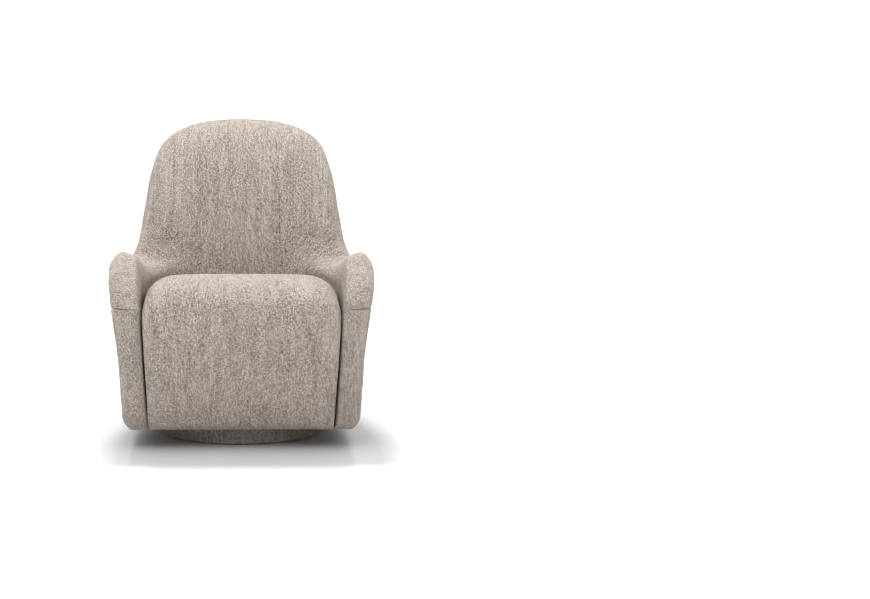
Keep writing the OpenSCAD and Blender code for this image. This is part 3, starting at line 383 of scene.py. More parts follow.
def stretched(tree, place, shares):
    """A place multiplied by a share along each axis."""
    return node(tree, "ShaderNodeVectorMath", {0: place, 1: shares}, operation="MULTIPLY").outputs[0]


def ramp(tree, value, stops, smooth=False):
    """A colour for each value, through stops of place and colour."""
    made = node(tree, "ShaderNodeValToRGB", {0: value})
    made.color_ramp.interpolation = "EASE" if smooth else "LINEAR"
    elements = made.color_ramp.elements
    while len(elements) < len(stops):
        elements.new(0.5)
    for element, (place, color) in zip(elements, stops):
        element.position = place
        element.color = (*color, 1)
    return made.outputs[0]


def blend_colors(tree, factor, a, b, how="MIX"):
    """Colour b over colour a, by a factor."""
    made = node(tree, "ShaderNodeMix", data_type="RGBA", blend_type=how)
    for socket, value in ((made.inputs[0], factor), (made.inputs[6], a), (made.inputs[7], b)):
        if isinstance(value, bpy.types.NodeSocket):
            tree.links.new(value, socket)
        else:
            socket.default_value = value if isinstance(value, float) else (*value, 1)
    return made.outputs[2]


def new_group(name, inputs, outputs, kind="ShaderNodeTree"):
    """A node group with named inputs and outputs."""
    tree = bpy.data.node_groups.new(name, kind)
    for label, form, value in inputs:
        socket = tree.interface.new_socket(label, in_out="INPUT", socket_type=form)
        if value is not None:
            socket.default_value = value
    for label, form in outputs:
        tree.interface.new_socket(label, in_out="OUTPUT", socket_type=form)
    return tree, tree.nodes.new("NodeGroupInput"), tree.nodes.new("NodeGroupOutput")


def use_group(tree, group, inputs):
    """A node group placed in a material, with its own values."""
    return node(tree, "ShaderNodeGroup", inputs, node_tree=group)


FLOAT, VECTOR = "NodeSocketFloat", "NodeSocketVector"
INTEGER, GEOMETRY, MATERIAL = "NodeSocketInt", "NodeSocketGeometry", "NodeSocketMaterial"


# Materials
nubs_per_m = 600.0
curl_share = 2.1
slub_shares = (320.0, 26.0, 1.0)
band_shares = (38.0, 5.0, 1.0)
slub_strength = 0.38
band_strength = 0.22
nub_tone = 0.6
curl_height = 0.45
fuzz_height = 0.3
nub_depth = 2.2 * mm


def make_boucle_group():
    """Looped yarn: nubs of mixed yarn colours, and slubs along the warp."""
    tree, given, out = new_group("boucle_yarn", [
        ("Place", VECTOR, None), ("Cloth", VECTOR, None), ("Nubs", FLOAT, nubs_per_m),
        ("Slubs", FLOAT, 1.0)], [("Yarn", FLOAT), ("Height", FLOAT)])
    place, cloth = given.outputs["Place"], given.outputs["Cloth"]
    finer = times(tree, given.outputs["Nubs"], curl_share)
    nubs = cells(tree, place, given.outputs["Nubs"])
    curls = cells(tree, place, finer)
    shade = node(tree, "ShaderNodeSeparateColor", {0: nubs.outputs["Color"]})
    curl_shade = node(tree, "ShaderNodeSeparateColor", {0: curls.outputs["Color"]})
    slub = minus(tree, noise(tree, stretched(tree, cloth, slub_shares), scale=1.0, detail=1.0), 0.5)
    band = minus(tree, noise(tree, stretched(tree, cloth, band_shares), scale=1.0, detail=1.0), 0.5)
    streak = times(tree, plus(tree, times(tree, slub, slub_strength), times(tree, band, band_strength)),
                   given.outputs["Slubs"])
    yarn = plus(tree, times(tree, shade.outputs[0], nub_tone),
                times(tree, curl_shade.outputs[1], 1 - nub_tone))
    high = minus(tree, 1.0, nubs.outputs["Distance"])
    small = minus(tree, 1.0, curls.outputs["Distance"])
    height = plus(tree, high, times(tree, small, curl_height))
    height = plus(tree, height, times(tree, noise(tree, place, finer, detail=2.0), fuzz_height))
    tree.links.new(plus(tree, yarn, streak), out.inputs["Yarn"])
    tree.links.new(height, out.inputs["Height"])
    return tree


boucle_group = make_boucle_group()


def new_material(name):
    """A material with its node tree and its shader."""
    material = bpy.data.materials.new(name)
    material.use_nodes = True
    tree = material.node_tree
    return material, tree, tree.nodes["Principled BSDF"]


def raise_surface(tree, shader, height, depth, strength=0.5):
    """Relief of a depth on the shader's surface."""
    bump = node(tree, "ShaderNodeBump", {"Strength": strength, "Distance": depth, "Height": height})
    tree.links.new(bump.outputs[0], shader.inputs["Normal"])


def make_boucle():
    """Greige looped yarn, with painted shade in the hollows between its nubs."""
    material, tree, shader = new_material("greige_boucle")
    place = node(tree, "ShaderNodeTexCoord").outputs["Object"]
    cloth = node(tree, "ShaderNodeUVMap", uv_map="cloth").outputs[0]
    yarn = use_group(tree, boucle_group, {"Place": place, "Cloth": cloth, "Nubs": nubs_per_m, "Slubs": 1.0})
    color = ramp(tree, yarn.outputs["Yarn"], [
        (0.21, (0.066, 0.049, 0.039)), (0.38, (0.274, 0.22, 0.178)), (0.56, (0.51, 0.428, 0.363)),
        (0.79, (0.92, 0.83, 0.742))])
    # painted shade: the colour is darkened where the yarn height is low, in the hollows between the nubs
    deep = ramp(tree, yarn.outputs["Height"], [(0.45, (0.35, 0.33, 0.31)), (0.95, (1, 1, 1))])
    color = blend_colors(tree, 0.6, color, deep, "MULTIPLY")
    tree.links.new(color, shader.inputs["Base Color"])
    raise_surface(tree, shader, yarn.outputs["Height"], nub_depth, strength=0.9)
    for label, value in (("Roughness", 0.95), ("Sheen Weight", 0.25), ("Sheen Roughness", 0.6),
                         ("Sheen Tint", (0.9, 0.84, 0.78, 1)), ("Specular IOR Level", 0.1)):
        shader.inputs[label].default_value = value
    return material


ring_count = 9.0
ring_share = 0.4
fleck_size = 0.16
fleck_strength = 0.35
ply_strength = 0.55
long_grain = 0.06
scratch_start = 0.68
dot_size = 0.25
rib_turns = 2600.0
warp_turns = 3600.0
line_place_share = 1 / 3
line_width_share = 1 / 25
grain_depth = 0.3 * mm
pore_depth = 0.6 * mm
fibre_depth = 0.5 * mm
rib_depth = 0.4 * mm
dot_depth = 0.2 * mm
peel_depth = 0.15 * mm
brush_depth = 0.1 * mm
grit_depth = 0.15 * mm


def make_wood_group():
    """Grain stretched along the board, growth rings, and short dark flecks."""
    tree, given, out = new_group("wood_grain", [
        ("Place", VECTOR, None), ("Along", VECTOR, None)], [("Grain", FLOAT), ("Fleck", FLOAT)])
    drawn = stretched(tree, given.outputs["Place"], given.outputs["Along"])
    rings = math_node(tree, "FRACT", times(tree, noise(tree, drawn, scale=14.0, detail=3.0), ring_count))
    fibre = noise(tree, drawn, scale=210.0, detail=4.0)
    grain = plus(tree, times(tree, rings, ring_share), times(tree, fibre, 1 - ring_share))
    flecks = cells(tree, drawn, scale=330.0).outputs["Distance"]
    tree.links.new(grain, out.inputs["Grain"])
    tree.links.new(math_node(tree, "LESS_THAN", flecks, fleck_size), out.inputs["Fleck"])
    return tree


def make_handling_group():
    """Dust that lies on upward faces, and the fine scratches of handling."""
    tree, given, out = new_group("handling", [("Place", VECTOR, None), ("Dust", FLOAT, 0.4)], [
        ("Dust", FLOAT), ("Scratch", FLOAT), ("Mottle", FLOAT)])
    cloud = noise(tree, given.outputs["Place"], scale=38.0, detail=5.0)
    facing = node(tree, "ShaderNodeSeparateXYZ", {0: node(tree, "ShaderNodeNewGeometry").outputs["Normal"]})
    upward = math_node(tree, "MAXIMUM", facing.outputs["Z"], 0.0)
    dust = times(tree, times(tree, upward, cloud), given.outputs["Dust"])
    slant = node(tree, "ShaderNodeMapping", {0: given.outputs["Place"], "Rotation": (0.3, 0.5, 0.9),
                                            "Scale": (30.0, 900.0, 900.0)})
    line = noise(tree, slant.outputs[0], scale=1.0, detail=2.0)
    tree.links.new(dust, out.inputs["Dust"])
    tree.links.new(math_node(tree, "GREATER_THAN", line, scratch_start), out.inputs["Scratch"])
    tree.links.new(cloud, out.inputs["Mottle"])
    return tree


wood_group = make_wood_group()
handling_group = make_handling_group()
dust_color = (0.36, 0.33, 0.29)


def finish_with(name, rough, dust, metallic=0.0, specular=0.5):
    """A material whose constants are set, with its place and its handling marks."""
    material, tree, shader = new_material(name)
    place = node(tree, "ShaderNodeTexCoord").outputs["Object"]
    marks_of = use_group(tree, handling_group, {"Place": place, "Dust": dust})
    shader.inputs["Roughness"].default_value = rough
    shader.inputs["Metallic"].default_value = metallic
    shader.inputs["Specular IOR Level"].default_value = specular
    return material, tree, shader, place, marks_of


def dusted(tree, shader, color, marks_of):
    """Gives the shader a colour with dust over it."""
    dusty = blend_colors(tree, marks_of.outputs["Dust"], color, dust_color)
    tree.links.new(dusty, shader.inputs["Base Color"])


def rubbed(tree, marks_of, color, under, share, how="MIX"):
    """A colour with the scratches of handling in it."""
    return blend_colors(tree, times(tree, marks_of.outputs["Scratch"], share), color, under, how)


def make_wood(name, axis, light, dark, thin=None, ply=None):
    """Planed timber with its grain along one axis; plywood also shows its layers on cut edges."""
    material, tree, shader, place, marks_of = finish_with(name, rough=0.6, dust=0.3, specular=0.3)
    along = [1.0, 1.0, 1.0]
    along[axis] = long_grain
    wood = use_group(tree, wood_group, {"Place": place, "Along": along})
    color = ramp(tree, wood.outputs["Grain"], [(0.25, dark), (0.7, light)])
    color = blend_colors(tree, times(tree, wood.outputs["Fleck"], fleck_strength), color, dark, "MULTIPLY")
    if thin is not None:
        across = node(tree, "ShaderNodeSeparateXYZ", {0: place}).outputs[thin]
        layer = math_node(tree, "PINGPONG", math_node(tree, "DIVIDE", across, ply), 1.0)
        normal = node(tree, "ShaderNodeTexCoord").outputs["Normal"]
        edge = math_node(tree, "ABSOLUTE", node(tree, "ShaderNodeSeparateXYZ", {0: normal}).outputs[thin])
        cut = times(tree, math_node(tree, "GREATER_THAN", layer, 0.5),
                    math_node(tree, "LESS_THAN", edge, 0.5))
        color = blend_colors(tree, times(tree, cut, ply_strength), color, dark)
    dusted(tree, shader, color, marks_of)
    raise_surface(tree, shader, wood.outputs["Grain"], grain_depth, strength=0.35)
    return material


def make_foam():
    """Open cells, a little yellower where the light has reached it."""
    material, tree, shader, place, marks_of = finish_with("cut_foam", rough=0.95, dust=0.15, specular=0.1)
    open_cells = cells(tree, place, scale=700.0).outputs["Distance"]
    aged = ramp(tree, marks_of.outputs["Mottle"], [(0.3, (0.83, 0.77, 0.55)), (0.7, (0.78, 0.68, 0.40))])
    pores = ramp(tree, open_cells, [(0.1, (0.55, 0.5, 0.45)), (0.4, (1, 1, 1))])
    dusted(tree, shader, blend_colors(tree, 0.8, aged, pores, "MULTIPLY"), marks_of)
    raise_surface(tree, shader, open_cells, pore_depth)
    return material


def make_felt():
    """Needled fibres of mixed greys."""
    material, tree, shader, place, marks_of = finish_with("needled_felt", rough=0.95, dust=0.2, specular=0.1)
    squash = node(tree, "ShaderNodeMapping", {0: place, "Rotation": (0.0, 0.0, 0.6),
                                              "Scale": (1.0, 0.25, 1.0)})
    fibre = noise(tree, squash.outputs[0], scale=900.0, detail=4.0)
    color = ramp(tree, fibre, [
        (0.3, (0.09, 0.085, 0.08)), (0.5, (0.2, 0.18, 0.16)), (0.72, (0.42, 0.38, 0.33))])
    dusted(tree, shader, color, marks_of)
    raise_surface(tree, shader, fibre, fibre_depth)
    return material


def make_webbing(wide):
    """Woven elastic: ribs across the strap and two coloured lines along it."""
    material, tree, shader, _, marks_of = finish_with("elastic_webbing", rough=0.85, dust=0.15, specular=0.2)
    strap = node(tree, "ShaderNodeSeparateXYZ", {0: node(tree, "ShaderNodeUVMap", uv_map="cloth").outputs[0]})
    rib = math_node(tree, "SINE", times(tree, strap.outputs["Y"], rib_turns))
    warp = math_node(tree, "SINE", times(tree, strap.outputs["X"], warp_turns))
    weave = plus(tree, times(tree, times(tree, rib, warp), 0.25), 0.5)
    from_line = minus(tree, math_node(tree, "ABSOLUTE", strap.outputs["X"]), wide * line_place_share)
    line = math_node(tree, "LESS_THAN", math_node(tree, "ABSOLUTE", from_line), wide * line_width_share)
    woven = ramp(tree, weave, [(0.2, (0.05, 0.05, 0.05)), (0.8, (0.17, 0.16, 0.15))])
    color = blend_colors(tree, line, woven, (0.42, 0.12, 0.06))
    dusted(tree, shader, color, marks_of)
    raise_surface(tree, shader, weave, rib_depth)
    return material


def make_cambric():
    """Thin black nonwoven cloth, bonded in small dots."""
    material, tree, shader, place, marks_of = finish_with("black_cambric", rough=0.9, dust=0.1, specular=0.2)
    bonds = node(tree, "ShaderNodeTexVoronoi", {"Vector": place, "Scale": 420.0, "Randomness": 0.15})
    dots = bonds.outputs["Distance"]
    web = ramp(tree, noise(tree, place, scale=1500.0, detail=3.0), [
        (0.3, (0.012, 0.012, 0.012)), (0.7, (0.045, 0.043, 0.042))])
    color = blend_colors(tree, math_node(tree, "LESS_THAN", dots, dot_size), web, (0.008, 0.008, 0.008))
    dusted(tree, shader, color, marks_of)
    raise_surface(tree, shader, dots, dot_depth)
    return material


def make_painted_steel():
    """Satin black paint with a fine peel, rubbed through in scratches."""
    material, tree, shader, place, marks_of = finish_with("black_paint", rough=0.42, dust=0.35)
    color = ramp(tree, marks_of.outputs["Mottle"], [(0.3, (0.022, 0.022, 0.024)), (0.7, (0.04, 0.04, 0.043))])
    dusted(tree, shader, rubbed(tree, marks_of, color, (0.2, 0.2, 0.2), share=0.4), marks_of)
    raise_surface(tree, shader, noise(tree, place, scale=520.0, detail=2.0), peel_depth, strength=0.25)
    return material


def make_bright_steel():
    """Zinc plate, with brushed lines and a slight straw tint in places."""
    material, tree, shader, place, marks_of = finish_with("zinc_plate", rough=0.33, dust=0.2, metallic=1.0)
    drawn = node(tree, "ShaderNodeMapping", {0: place, "Scale": (1.0, 1.0, 0.05)})
    color = ramp(tree, marks_of.outputs["Mottle"], [(0.35, (0.60, 0.61, 0.63)), (0.7, (0.68, 0.65, 0.57))])
    dusted(tree, shader, rubbed(tree, marks_of, color, (0.35, 0.35, 0.36), share=0.3), marks_of)
    lines = noise(tree, drawn.outputs[0], scale=700.0, detail=3.0)
    raise_surface(tree, shader, lines, brush_depth, strength=0.2)
    return material


def make_moulded(name, low, high, rough, grit):
    """A moulded part: nylon or rubber, with its own fine grit."""
    material, tree, shader, place, marks_of = finish_with(name, rough=rough, dust=0.35, specular=0.4)
    grain = noise(tree, place, grit, detail=3.0)
    color = ramp(tree, grain, [(0.3, low), (0.7, high)])
    dusted(tree, shader, rubbed(tree, marks_of, color, high, share=0.2, how="SCREEN"), marks_of)
    raise_surface(tree, shader, grain, grit_depth, strength=0.3)
    return material


beech = ((0.60, 0.41, 0.24), (0.40, 0.24, 0.12))
birch = ((0.72, 0.54, 0.34), (0.50, 0.34, 0.18))
bent_pieces = {"plinth_drum", "rear_base_rail"}
ply_layer = 1.5 * mm
finishes = {
    "foam": make_foam(),
    "felt": make_felt(),
    "cambric": make_cambric(),
    "black_steel": make_painted_steel(),
    "bright_steel": make_bright_steel(),
    "nylon": make_moulded("nylon", (0.70, 0.67, 0.58), (0.82, 0.80, 0.73), rough=0.4, grit=160.0),
    "rubber": make_moulded("rubber", (0.016, 0.016, 0.016), (0.03, 0.029, 0.028), rough=0.8, grit=900.0),
    "boucle": make_boucle(),
}


def wood_for(shown, slot_name):
    """The slot's timber with its grain along the piece, and its layers across the thin way."""
    corners = np.array([v.co for v in shown.data.vertices])
    size = np.ptp(corners, axis=0)
    axis, thin = int(np.argmax(size)), int(np.argmin(size))
    layered = slot_name == "plywood" and shown.name not in bent_pieces
    key = (slot_name, axis, thin if layered else None)
    if key not in finishes:
        light, dark = birch if slot_name == "plywood" else beech
        label = f"{slot_name}_{'xyz'[axis]}" + (f"_{'xyz'[thin]}" if layered else "")
        finishes[key] = make_wood(label, axis, light, dark, *((thin, ply_layer) if layered else ()))
    return finishes[key]


slot_of = {part["node"]: part["material_slot"] for part in frame["record"]["subparts"]}
for name, shown in frame["nodes"].items():
    slot_name = slot_of[name]
    shown.data.materials.clear()
    wooden = slot_name in ("hardwood", "plywood")
    shown.data.materials.append(wood_for(shown, slot_name) if wooden else finishes[slot_name])


# Meshes
sharp_angle = math.radians(50)


def finish_piece(piece, body, uv):
    """Gives a mesh its map on the cloth and smooth shading, and lets it ride on a body."""
    mesh = piece.data
    layer = mesh.uv_layers.new(name="cloth")
    corner = np.empty(len(mesh.loops), int)
    mesh.loops.foreach_get("vertex_index", corner)
    layer.data.foreach_set("uv", np.asarray(uv, np.float32)[corner].ravel())
    mesh.polygons.foreach_set("use_smooth", [True] * len(mesh.polygons))
    mesh.set_sharp_from_angle(angle=sharp_angle)
    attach(piece, body)
    return piece


def new_object(name, points, edges=(), faces=()):
    mesh = bpy.data.meshes.new(name)
    mesh.from_pydata(np.asarray(points, float).tolist(), list(edges), np.asarray(faces, int).tolist())
    made = bpy.data.objects.new(name, mesh)
    bpy.context.scene.collection.objects.link(made)
    return made


def add_piece(name, points, faces, body, slot, uv):
    """A finished mesh piece that rides on a body."""
    piece = new_object(name, points, faces=faces)
    piece.data.validate()
    piece.data.materials.append(finishes[slot])
    return finish_piece(piece, body, uv)


def points_of(mesh):
    points = np.empty(3 * len(mesh.vertices))
    mesh.vertices.foreach_get("co", points)
    return points.reshape(-1, 3)


def grown(name, tree, line, sizes, finish):
    """The plain mesh that a geometry tree makes along a line of points, from its named sizes."""
    piece = new_object(name, line, edges=[(k, k + 1) for k in range(len(line) - 1)])
    modifier = piece.modifiers.new("shape", "NODES")
    modifier.node_group = tree
    given = {**sizes, "Finish": finish}
    for item in tree.interface.items_tree:
        if item.in_out == "INPUT" and item.name in given:
            modifier[item.identifier] = given[item.name]
    graph = bpy.context.evaluated_depsgraph_get()
    plain = bpy.data.meshes.new_from_object(piece.evaluated_get(graph), depsgraph=graph)
    piece.modifiers.remove(modifier)
    line_mesh = piece.data
    piece.data = plain
    bpy.data.meshes.remove(line_mesh)
    while plain.materials[0] is None:
        plain.materials.pop(index=0)
    plain.name = name
    return piece


def end_tree(tree, given, out, geometry):
    """Ends a geometry tree as plain geometry with its finish."""
    real = node(tree, "GeometryNodeRealizeInstances", {"Geometry": geometry}).outputs[0]
    done = node(tree, "GeometryNodeSetMaterial", {"Geometry": real, "Material": given.outputs["Finish"]})
    tree.links.new(done.outputs[0], out.inputs[0])
    return tree


def slab_faces(rows, cols):
    """Faces of a closed slab between an outer grid and an inner grid."""
    count = rows * cols
    index = np.arange(count).reshape(rows, cols)
    starts = ((0, 0), (0, 1), (1, 0), (1, 1))
    a, b, c, d = (index[i:rows - 1 + i, j:cols - 1 + j].ravel() for i, j in starts)
    skins = np.concatenate([np.stack([a, c, d, b], 1), np.stack([a, b, d, c], 1) + count])
    edges = []
    rims = ((index[0], True), (index[-1], False), (index[:, 0], False), (index[:, -1], True))
    for line, ahead in rims:
        p, q = (line[:-1], line[1:]) if ahead else (line[1:], line[:-1])
        edges.append(np.stack([p, q, q + count, p + count], 1))
    return np.concatenate([skins] + edges)


def slab(name, outer, inner, body, slot, uv):
    """A closed slab between an outer and an inner grid."""
    rows, cols = outer.shape[:2]
    points = np.concatenate([outer.reshape(-1, 3), inner.reshape(-1, 3)])
    flat = uv.reshape(-1, 2)
    return add_piece(name, points, slab_faces(rows, cols), body, slot, np.concatenate([flat, flat]))


def uneven(grid):
    """The slight unevenness of hand-stretched cloth over padding."""
    return (lumps(grid, broad_lump, seed=11) * broad_height + lumps(grid, small_lump, seed=12) * small_height
            + lumps(grid, loop_lump, seed=13) * loop_height - pile_sink)


def settled(name, grid):
    """How far the cloth stands off its drawn shape once the padding presses it out from behind,
    sewn down at its edges. It starts slack inside that shape, and the padding holds it up."""
    picks = [np.unique(np.append(np.arange(0, n, press_step), n - 1)) for n in grid.shape[:2]]
    slack = (cloth_slack * hold_off(grid, hold_off_width))[picks[0]][:, picks[1]]
    coarse = grid[picks[0]][:, picks[1]]
    normal = outward(coarse)
    start = coarse - normal * slack[..., None]
    rows, cols = slack.shape
    index = np.arange(rows * cols).reshape(rows, cols)
    quads = np.stack([index[:-1, :-1], index[1:, :-1], index[1:, 1:], index[:-1, 1:]], -1).reshape(-1, 4)
    cloth = new_object(name, start.reshape(-1, 3), faces=quads)
    held = cloth.vertex_groups.new(name="held")
    edge = np.zeros((rows, cols), bool)
    edge[[0, -1]] = edge[:, [0, -1]] = True
    held.add(index[edge].tolist(), 1.0, "ADD")
    modifier = cloth.modifiers.new("cloth", "CLOTH")
    settings = modifier.settings
    settings.vertex_group_mass = held.name
    settings.quality = press_quality
    settings.tension_stiffness = settings.compression_stiffness = cloth_stiffness
    settings.bending_stiffness = cloth_bending
    settings.use_pressure = True
    settings.uniform_pressure_force = padding_pressure
    settings.effector_weights.gravity = 0
    for moment in range(1, press_frames + 1):
        bpy.context.scene.frame_set(moment)
    done = cloth.evaluated_get(bpy.context.evaluated_depsgraph_get()).to_mesh()
    moved = points_of(done).reshape(rows, cols, 3)
    bpy.data.objects.remove(cloth)
    bpy.context.scene.frame_set(1)
    lift = np.sum((moved - start) * normal, axis=-1)
    limit = np.where(lift > 0, press_cap, foam_give)
    lift = limit * np.tanh(lift / limit)
    print(f"{name} pressed out {lift.mean() / mm:.2f} mm, at most {lift.max() / mm:.2f}")
    lift = lift - slack
    for axis, pick in enumerate(picks):
        places = np.interp(np.arange(grid.shape[axis]), pick, np.arange(len(pick)))
        lift = np.moveaxis(along(np.moveaxis(lift, axis, 0), places), 0, axis)
    return lift


def hold_off(grid, width):
    """0 at the sewn edges of a grid and 1 away from them."""
    across, up = run(grid, 1), run(grid, 0)
    near = np.minimum(np.minimum(across, across[:, -1:] - across), np.minimum(up, up[-1:] - up))
    return 1 - np.clip(1 - near / width, 0, 1) ** 2


def cover(name, grid, sink, body, slot, uv, sewn_shift=0):
    """A cloth cover: the grid turned in by sink at its sewn edges, slightly uneven."""
    normal = outward(grid)
    outer = grid + sewn_shift + normal * (uneven(grid) * hold_off(grid, stitch_width) - sink)[..., None]
    inner = outer - outward(outer) * cloth_thick
    return slab(name, outer, inner, body, slot, uv)


def cloth_map(across, up):
    return np.stack([np.broadcast_to(across, up.shape), up], axis=-1)


# Arm and inside back cover, arm front covers
tub_v = marks([14, 10, 12, 12, 16, 10, 6])
tub_half_u = marks([20, 16, 15, 14, 14, 14, 14, 14, 14, 14, 16, 18, 18, 18], join_station)
tub_half_u[0] = join_station + join_gap_share
tub_u = np.concatenate([tub_half_u, 2 * top_station - tub_half_u[-2::-1]])
tub_grid = roll_surface(tub_u, tub_v)
join_fade = 1 - join_fade_share * np.clip((tub_v - join_fade_start) / join_fade_reach, 0, 1)
for end in (0, -1):
    met = roll_surface([join_station if end == 0 else 2 * top_station - join_station], tub_v)[0]
    tub_grid[end] = met + (tub_grid[end] - met) * join_fade[:, None]
tub_side = run(tub_grid, 1)
tub_end = run(tub_grid, 0)
tub_end = np.minimum(tub_end, tub_end[-1:] - tub_end)
tub_sink = groove(tub_end, join_seam_width, join_seam_depth) * join_fade
from_front = np.minimum(tub_u, 2 * top_station - tub_u)
back_share = np.clip((from_front - back_map_start) / back_map_stations, 0, 1)[:, None]
crest_column = np.argmin(np.abs(tub_v - crest_guide))
crest_run = run(tub_grid, 0)[:, [crest_column]]
crest_run = crest_run - crest_run[len(crest_run) // 2]
tub_across = (1 - back_share) * crest_run - back_share * tub_grid[..., 0]
tub_sink = tub_sink - settled("tub_cloth", tub_grid)
tub_cover = cover("tub_cover", tub_grid, tub_sink, "chair", "boucle", cloth_map(tub_across, tub_side),
                  sewn_in(tub_u, tub_side, roll_seam_width))
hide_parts("inner_cover")

front_u = marks([18, 16, 24, 26])
front_grid = roll_surface(front_u, tub_v)
front_side = run(front_grid, 1)
front_up = run(front_grid, 0)
front_sink = (groove(front_up[-1:] - front_up, join_seam_width, join_seam_depth) * join_fade
              + groove(front_up, foot_turn_width, foot_turn_depth))
front_shift = sewn_in(front_u, front_side, roll_seam_width)
arm_sides = (("left", front_grid, front_sink, front_shift),
             ("right", mirrored(front_grid), front_sink[:, ::-1], mirrored(front_shift)))
for side, shape, sink, shift in arm_sides:
    piece = cover(f"{side}_arm_front", shape, sink, "chair", "boucle",
                  cloth_map(run(shape, 1), run(shape, 0)), shift)
    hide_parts(f"{side}_arm_front_cover")

# Outside panel
panel_front_steps = 12
panel_foot_steps = 5
panel_high_steps = 71
panel_seam_steps = 7
panel_edge_share = 0.05
panel_map_column = 40
panel_counts = [16, 16, 16, 15, 14, 14, 14, 14, 14, 14, 14, 14, 14, 16, 16, 16, 16]
panel_half_u = np.concatenate([np.linspace(side_front_share, 1, panel_front_steps + 1)[:-1],
                               marks(panel_counts, 1)])
panel_u = np.concatenate([panel_half_u, 2 * top_station - panel_half_u[-2::-1]])
panel_t = np.concatenate([
    np.linspace(0, panel_edge_share, panel_foot_steps + 1)[:-1],
    np.linspace(panel_edge_share, 1 - panel_edge_share, panel_high_steps + 1),
    np.linspace(1 - panel_edge_share, 1, panel_seam_steps + 1)[1:]])
panel_grid = panel_surface(panel_u, panel_t)
panel_up = run(panel_grid, 1)
panel_round = run(panel_grid, 0)
panel_end = np.minimum(panel_round, panel_round[-1:] - panel_round)
panel_sink = (groove(panel_up, panel_seam_width, panel_seam_depth)
              + groove(panel_end, panel_seam_width, panel_seam_depth))
panel_sink = panel_sink - settled("panel_cloth", panel_grid)
panel_cover = cover("outside_panel", panel_grid, panel_sink, "chair", "boucle",
                    cloth_map(panel_round[:, [panel_map_column]], panel_up),
                    sewn_in(panel_u, panel_up[:, -1:] - panel_up, roll_seam_width))
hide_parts("outer_cover")

# Seat cover
seat_rows = marks([9, 9, 12, 16, 16, 14, 14, 14, 16, 16, 18, 14, 12, 10, 6, 5])
seat_grid = seat_surface(seat_rows, skirt_steps=6, round_steps=16, flat_steps=32)
seat_up = run(seat_grid, 0)
seat_sink = groove(seat_up, foot_turn_width, foot_turn_depth)
seat_sink = seat_sink - settled("seat_cloth", seat_grid)
seat_cover = cover("seat_cushion_cover", seat_grid, seat_sink, "chair", "boucle",
                   cloth_map(seat_grid[..., 0], seat_up))
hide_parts("seat_cover")

# Hem roll: one section drawn along the hem, with closed round ends that meet the arm fronts
hem_sides = 28
hem_end_rings = 6
hem_side_steps = 90
hem_turn_steps = 120
hem_square = 0.75


def hem_path(inset):
    side = np.linspace(hem_front - hem_reach, hem_turn, hem_side_steps)[:-1]
    straight = np.stack([np.full_like(side, hem_half - inset), side], axis=-1)
    half = np.concatenate([straight, plan_round(np.linspace(0, math.pi / 2, hem_turn_steps), inset)])
    return np.concatenate([half, half[-2::-1] * np.array([-1, 1])])


def make_roll_tree():
    """A roll along a level line: a squared round section that closes at both ends."""
    tree, given, out = new_group("padded_roll", [
        ("Path", GEOMETRY, None), ("Width", FLOAT, hem_thick), ("Height", FLOAT, hem_height),
        ("Squareness", FLOAT, hem_square), ("Sides", INTEGER, hem_sides),
        ("End Rings", INTEGER, hem_end_rings), ("Finish", MATERIAL, None)],
        [("Roll", GEOMETRY)], "GeometryNodeTree")
    place = node(tree, "GeometryNodeInputIndex").outputs[0]
    last = minus(tree, node(tree, "GeometryNodeSplineLength").outputs["Point Count"], 1.0)
    near = math_node(tree, "MINIMUM", place, minus(tree, last, place))
    inside = math_node(tree, "DIVIDE", plus(tree, near, 0.5), given.outputs["End Rings"])
    left = minus(tree, 1.0, math_node(tree, "MINIMUM", inside, 1.0))
    end_round = math_node(tree, "SQRT", minus(tree, 1.0, times(tree, left, left)))
    circle = node(tree, "GeometryNodeCurvePrimitiveCircle", {
        "Resolution": given.outputs["Sides"], "Radius": 1.0}).outputs["Curve"]
    around = node(tree, "ShaderNodeSeparateXYZ", {0: node(tree, "GeometryNodeInputPosition").outputs[0]})
    reach = {}
    for axis, size, share in (("X", "Width", 0.5), ("Y", "Height", -0.5)):
        way = around.outputs[axis]
        far = math_node(tree, "POWER", math_node(tree, "ABSOLUTE", way), given.outputs["Squareness"])
        half = times(tree, given.outputs[size], share)
        reach[axis] = times(tree, times(tree, far, math_node(tree, "SIGN", way)), half)
    squared = node(tree, "ShaderNodeCombineXYZ", reach).outputs[0]
    section = node(tree, "GeometryNodeSetPosition", {"Geometry": circle, "Position": squared}).outputs[0]
    path = node(tree, "GeometryNodeMeshToCurve", {"Mesh": given.outputs["Path"]}).outputs[0]
    path = node(tree, "GeometryNodeSetCurveNormal", {"Curve": path}, mode="Z_UP").outputs[0]
    roll = node(tree, "GeometryNodeCurveToMesh", {
        "Curve": path, "Profile Curve": section, "Scale": end_round, "Fill Caps": True}).outputs[0]
    roll = node(tree, "GeometryNodeFlipFaces", {"Mesh": roll}).outputs[0]
    return end_tree(tree, given, out, roll)


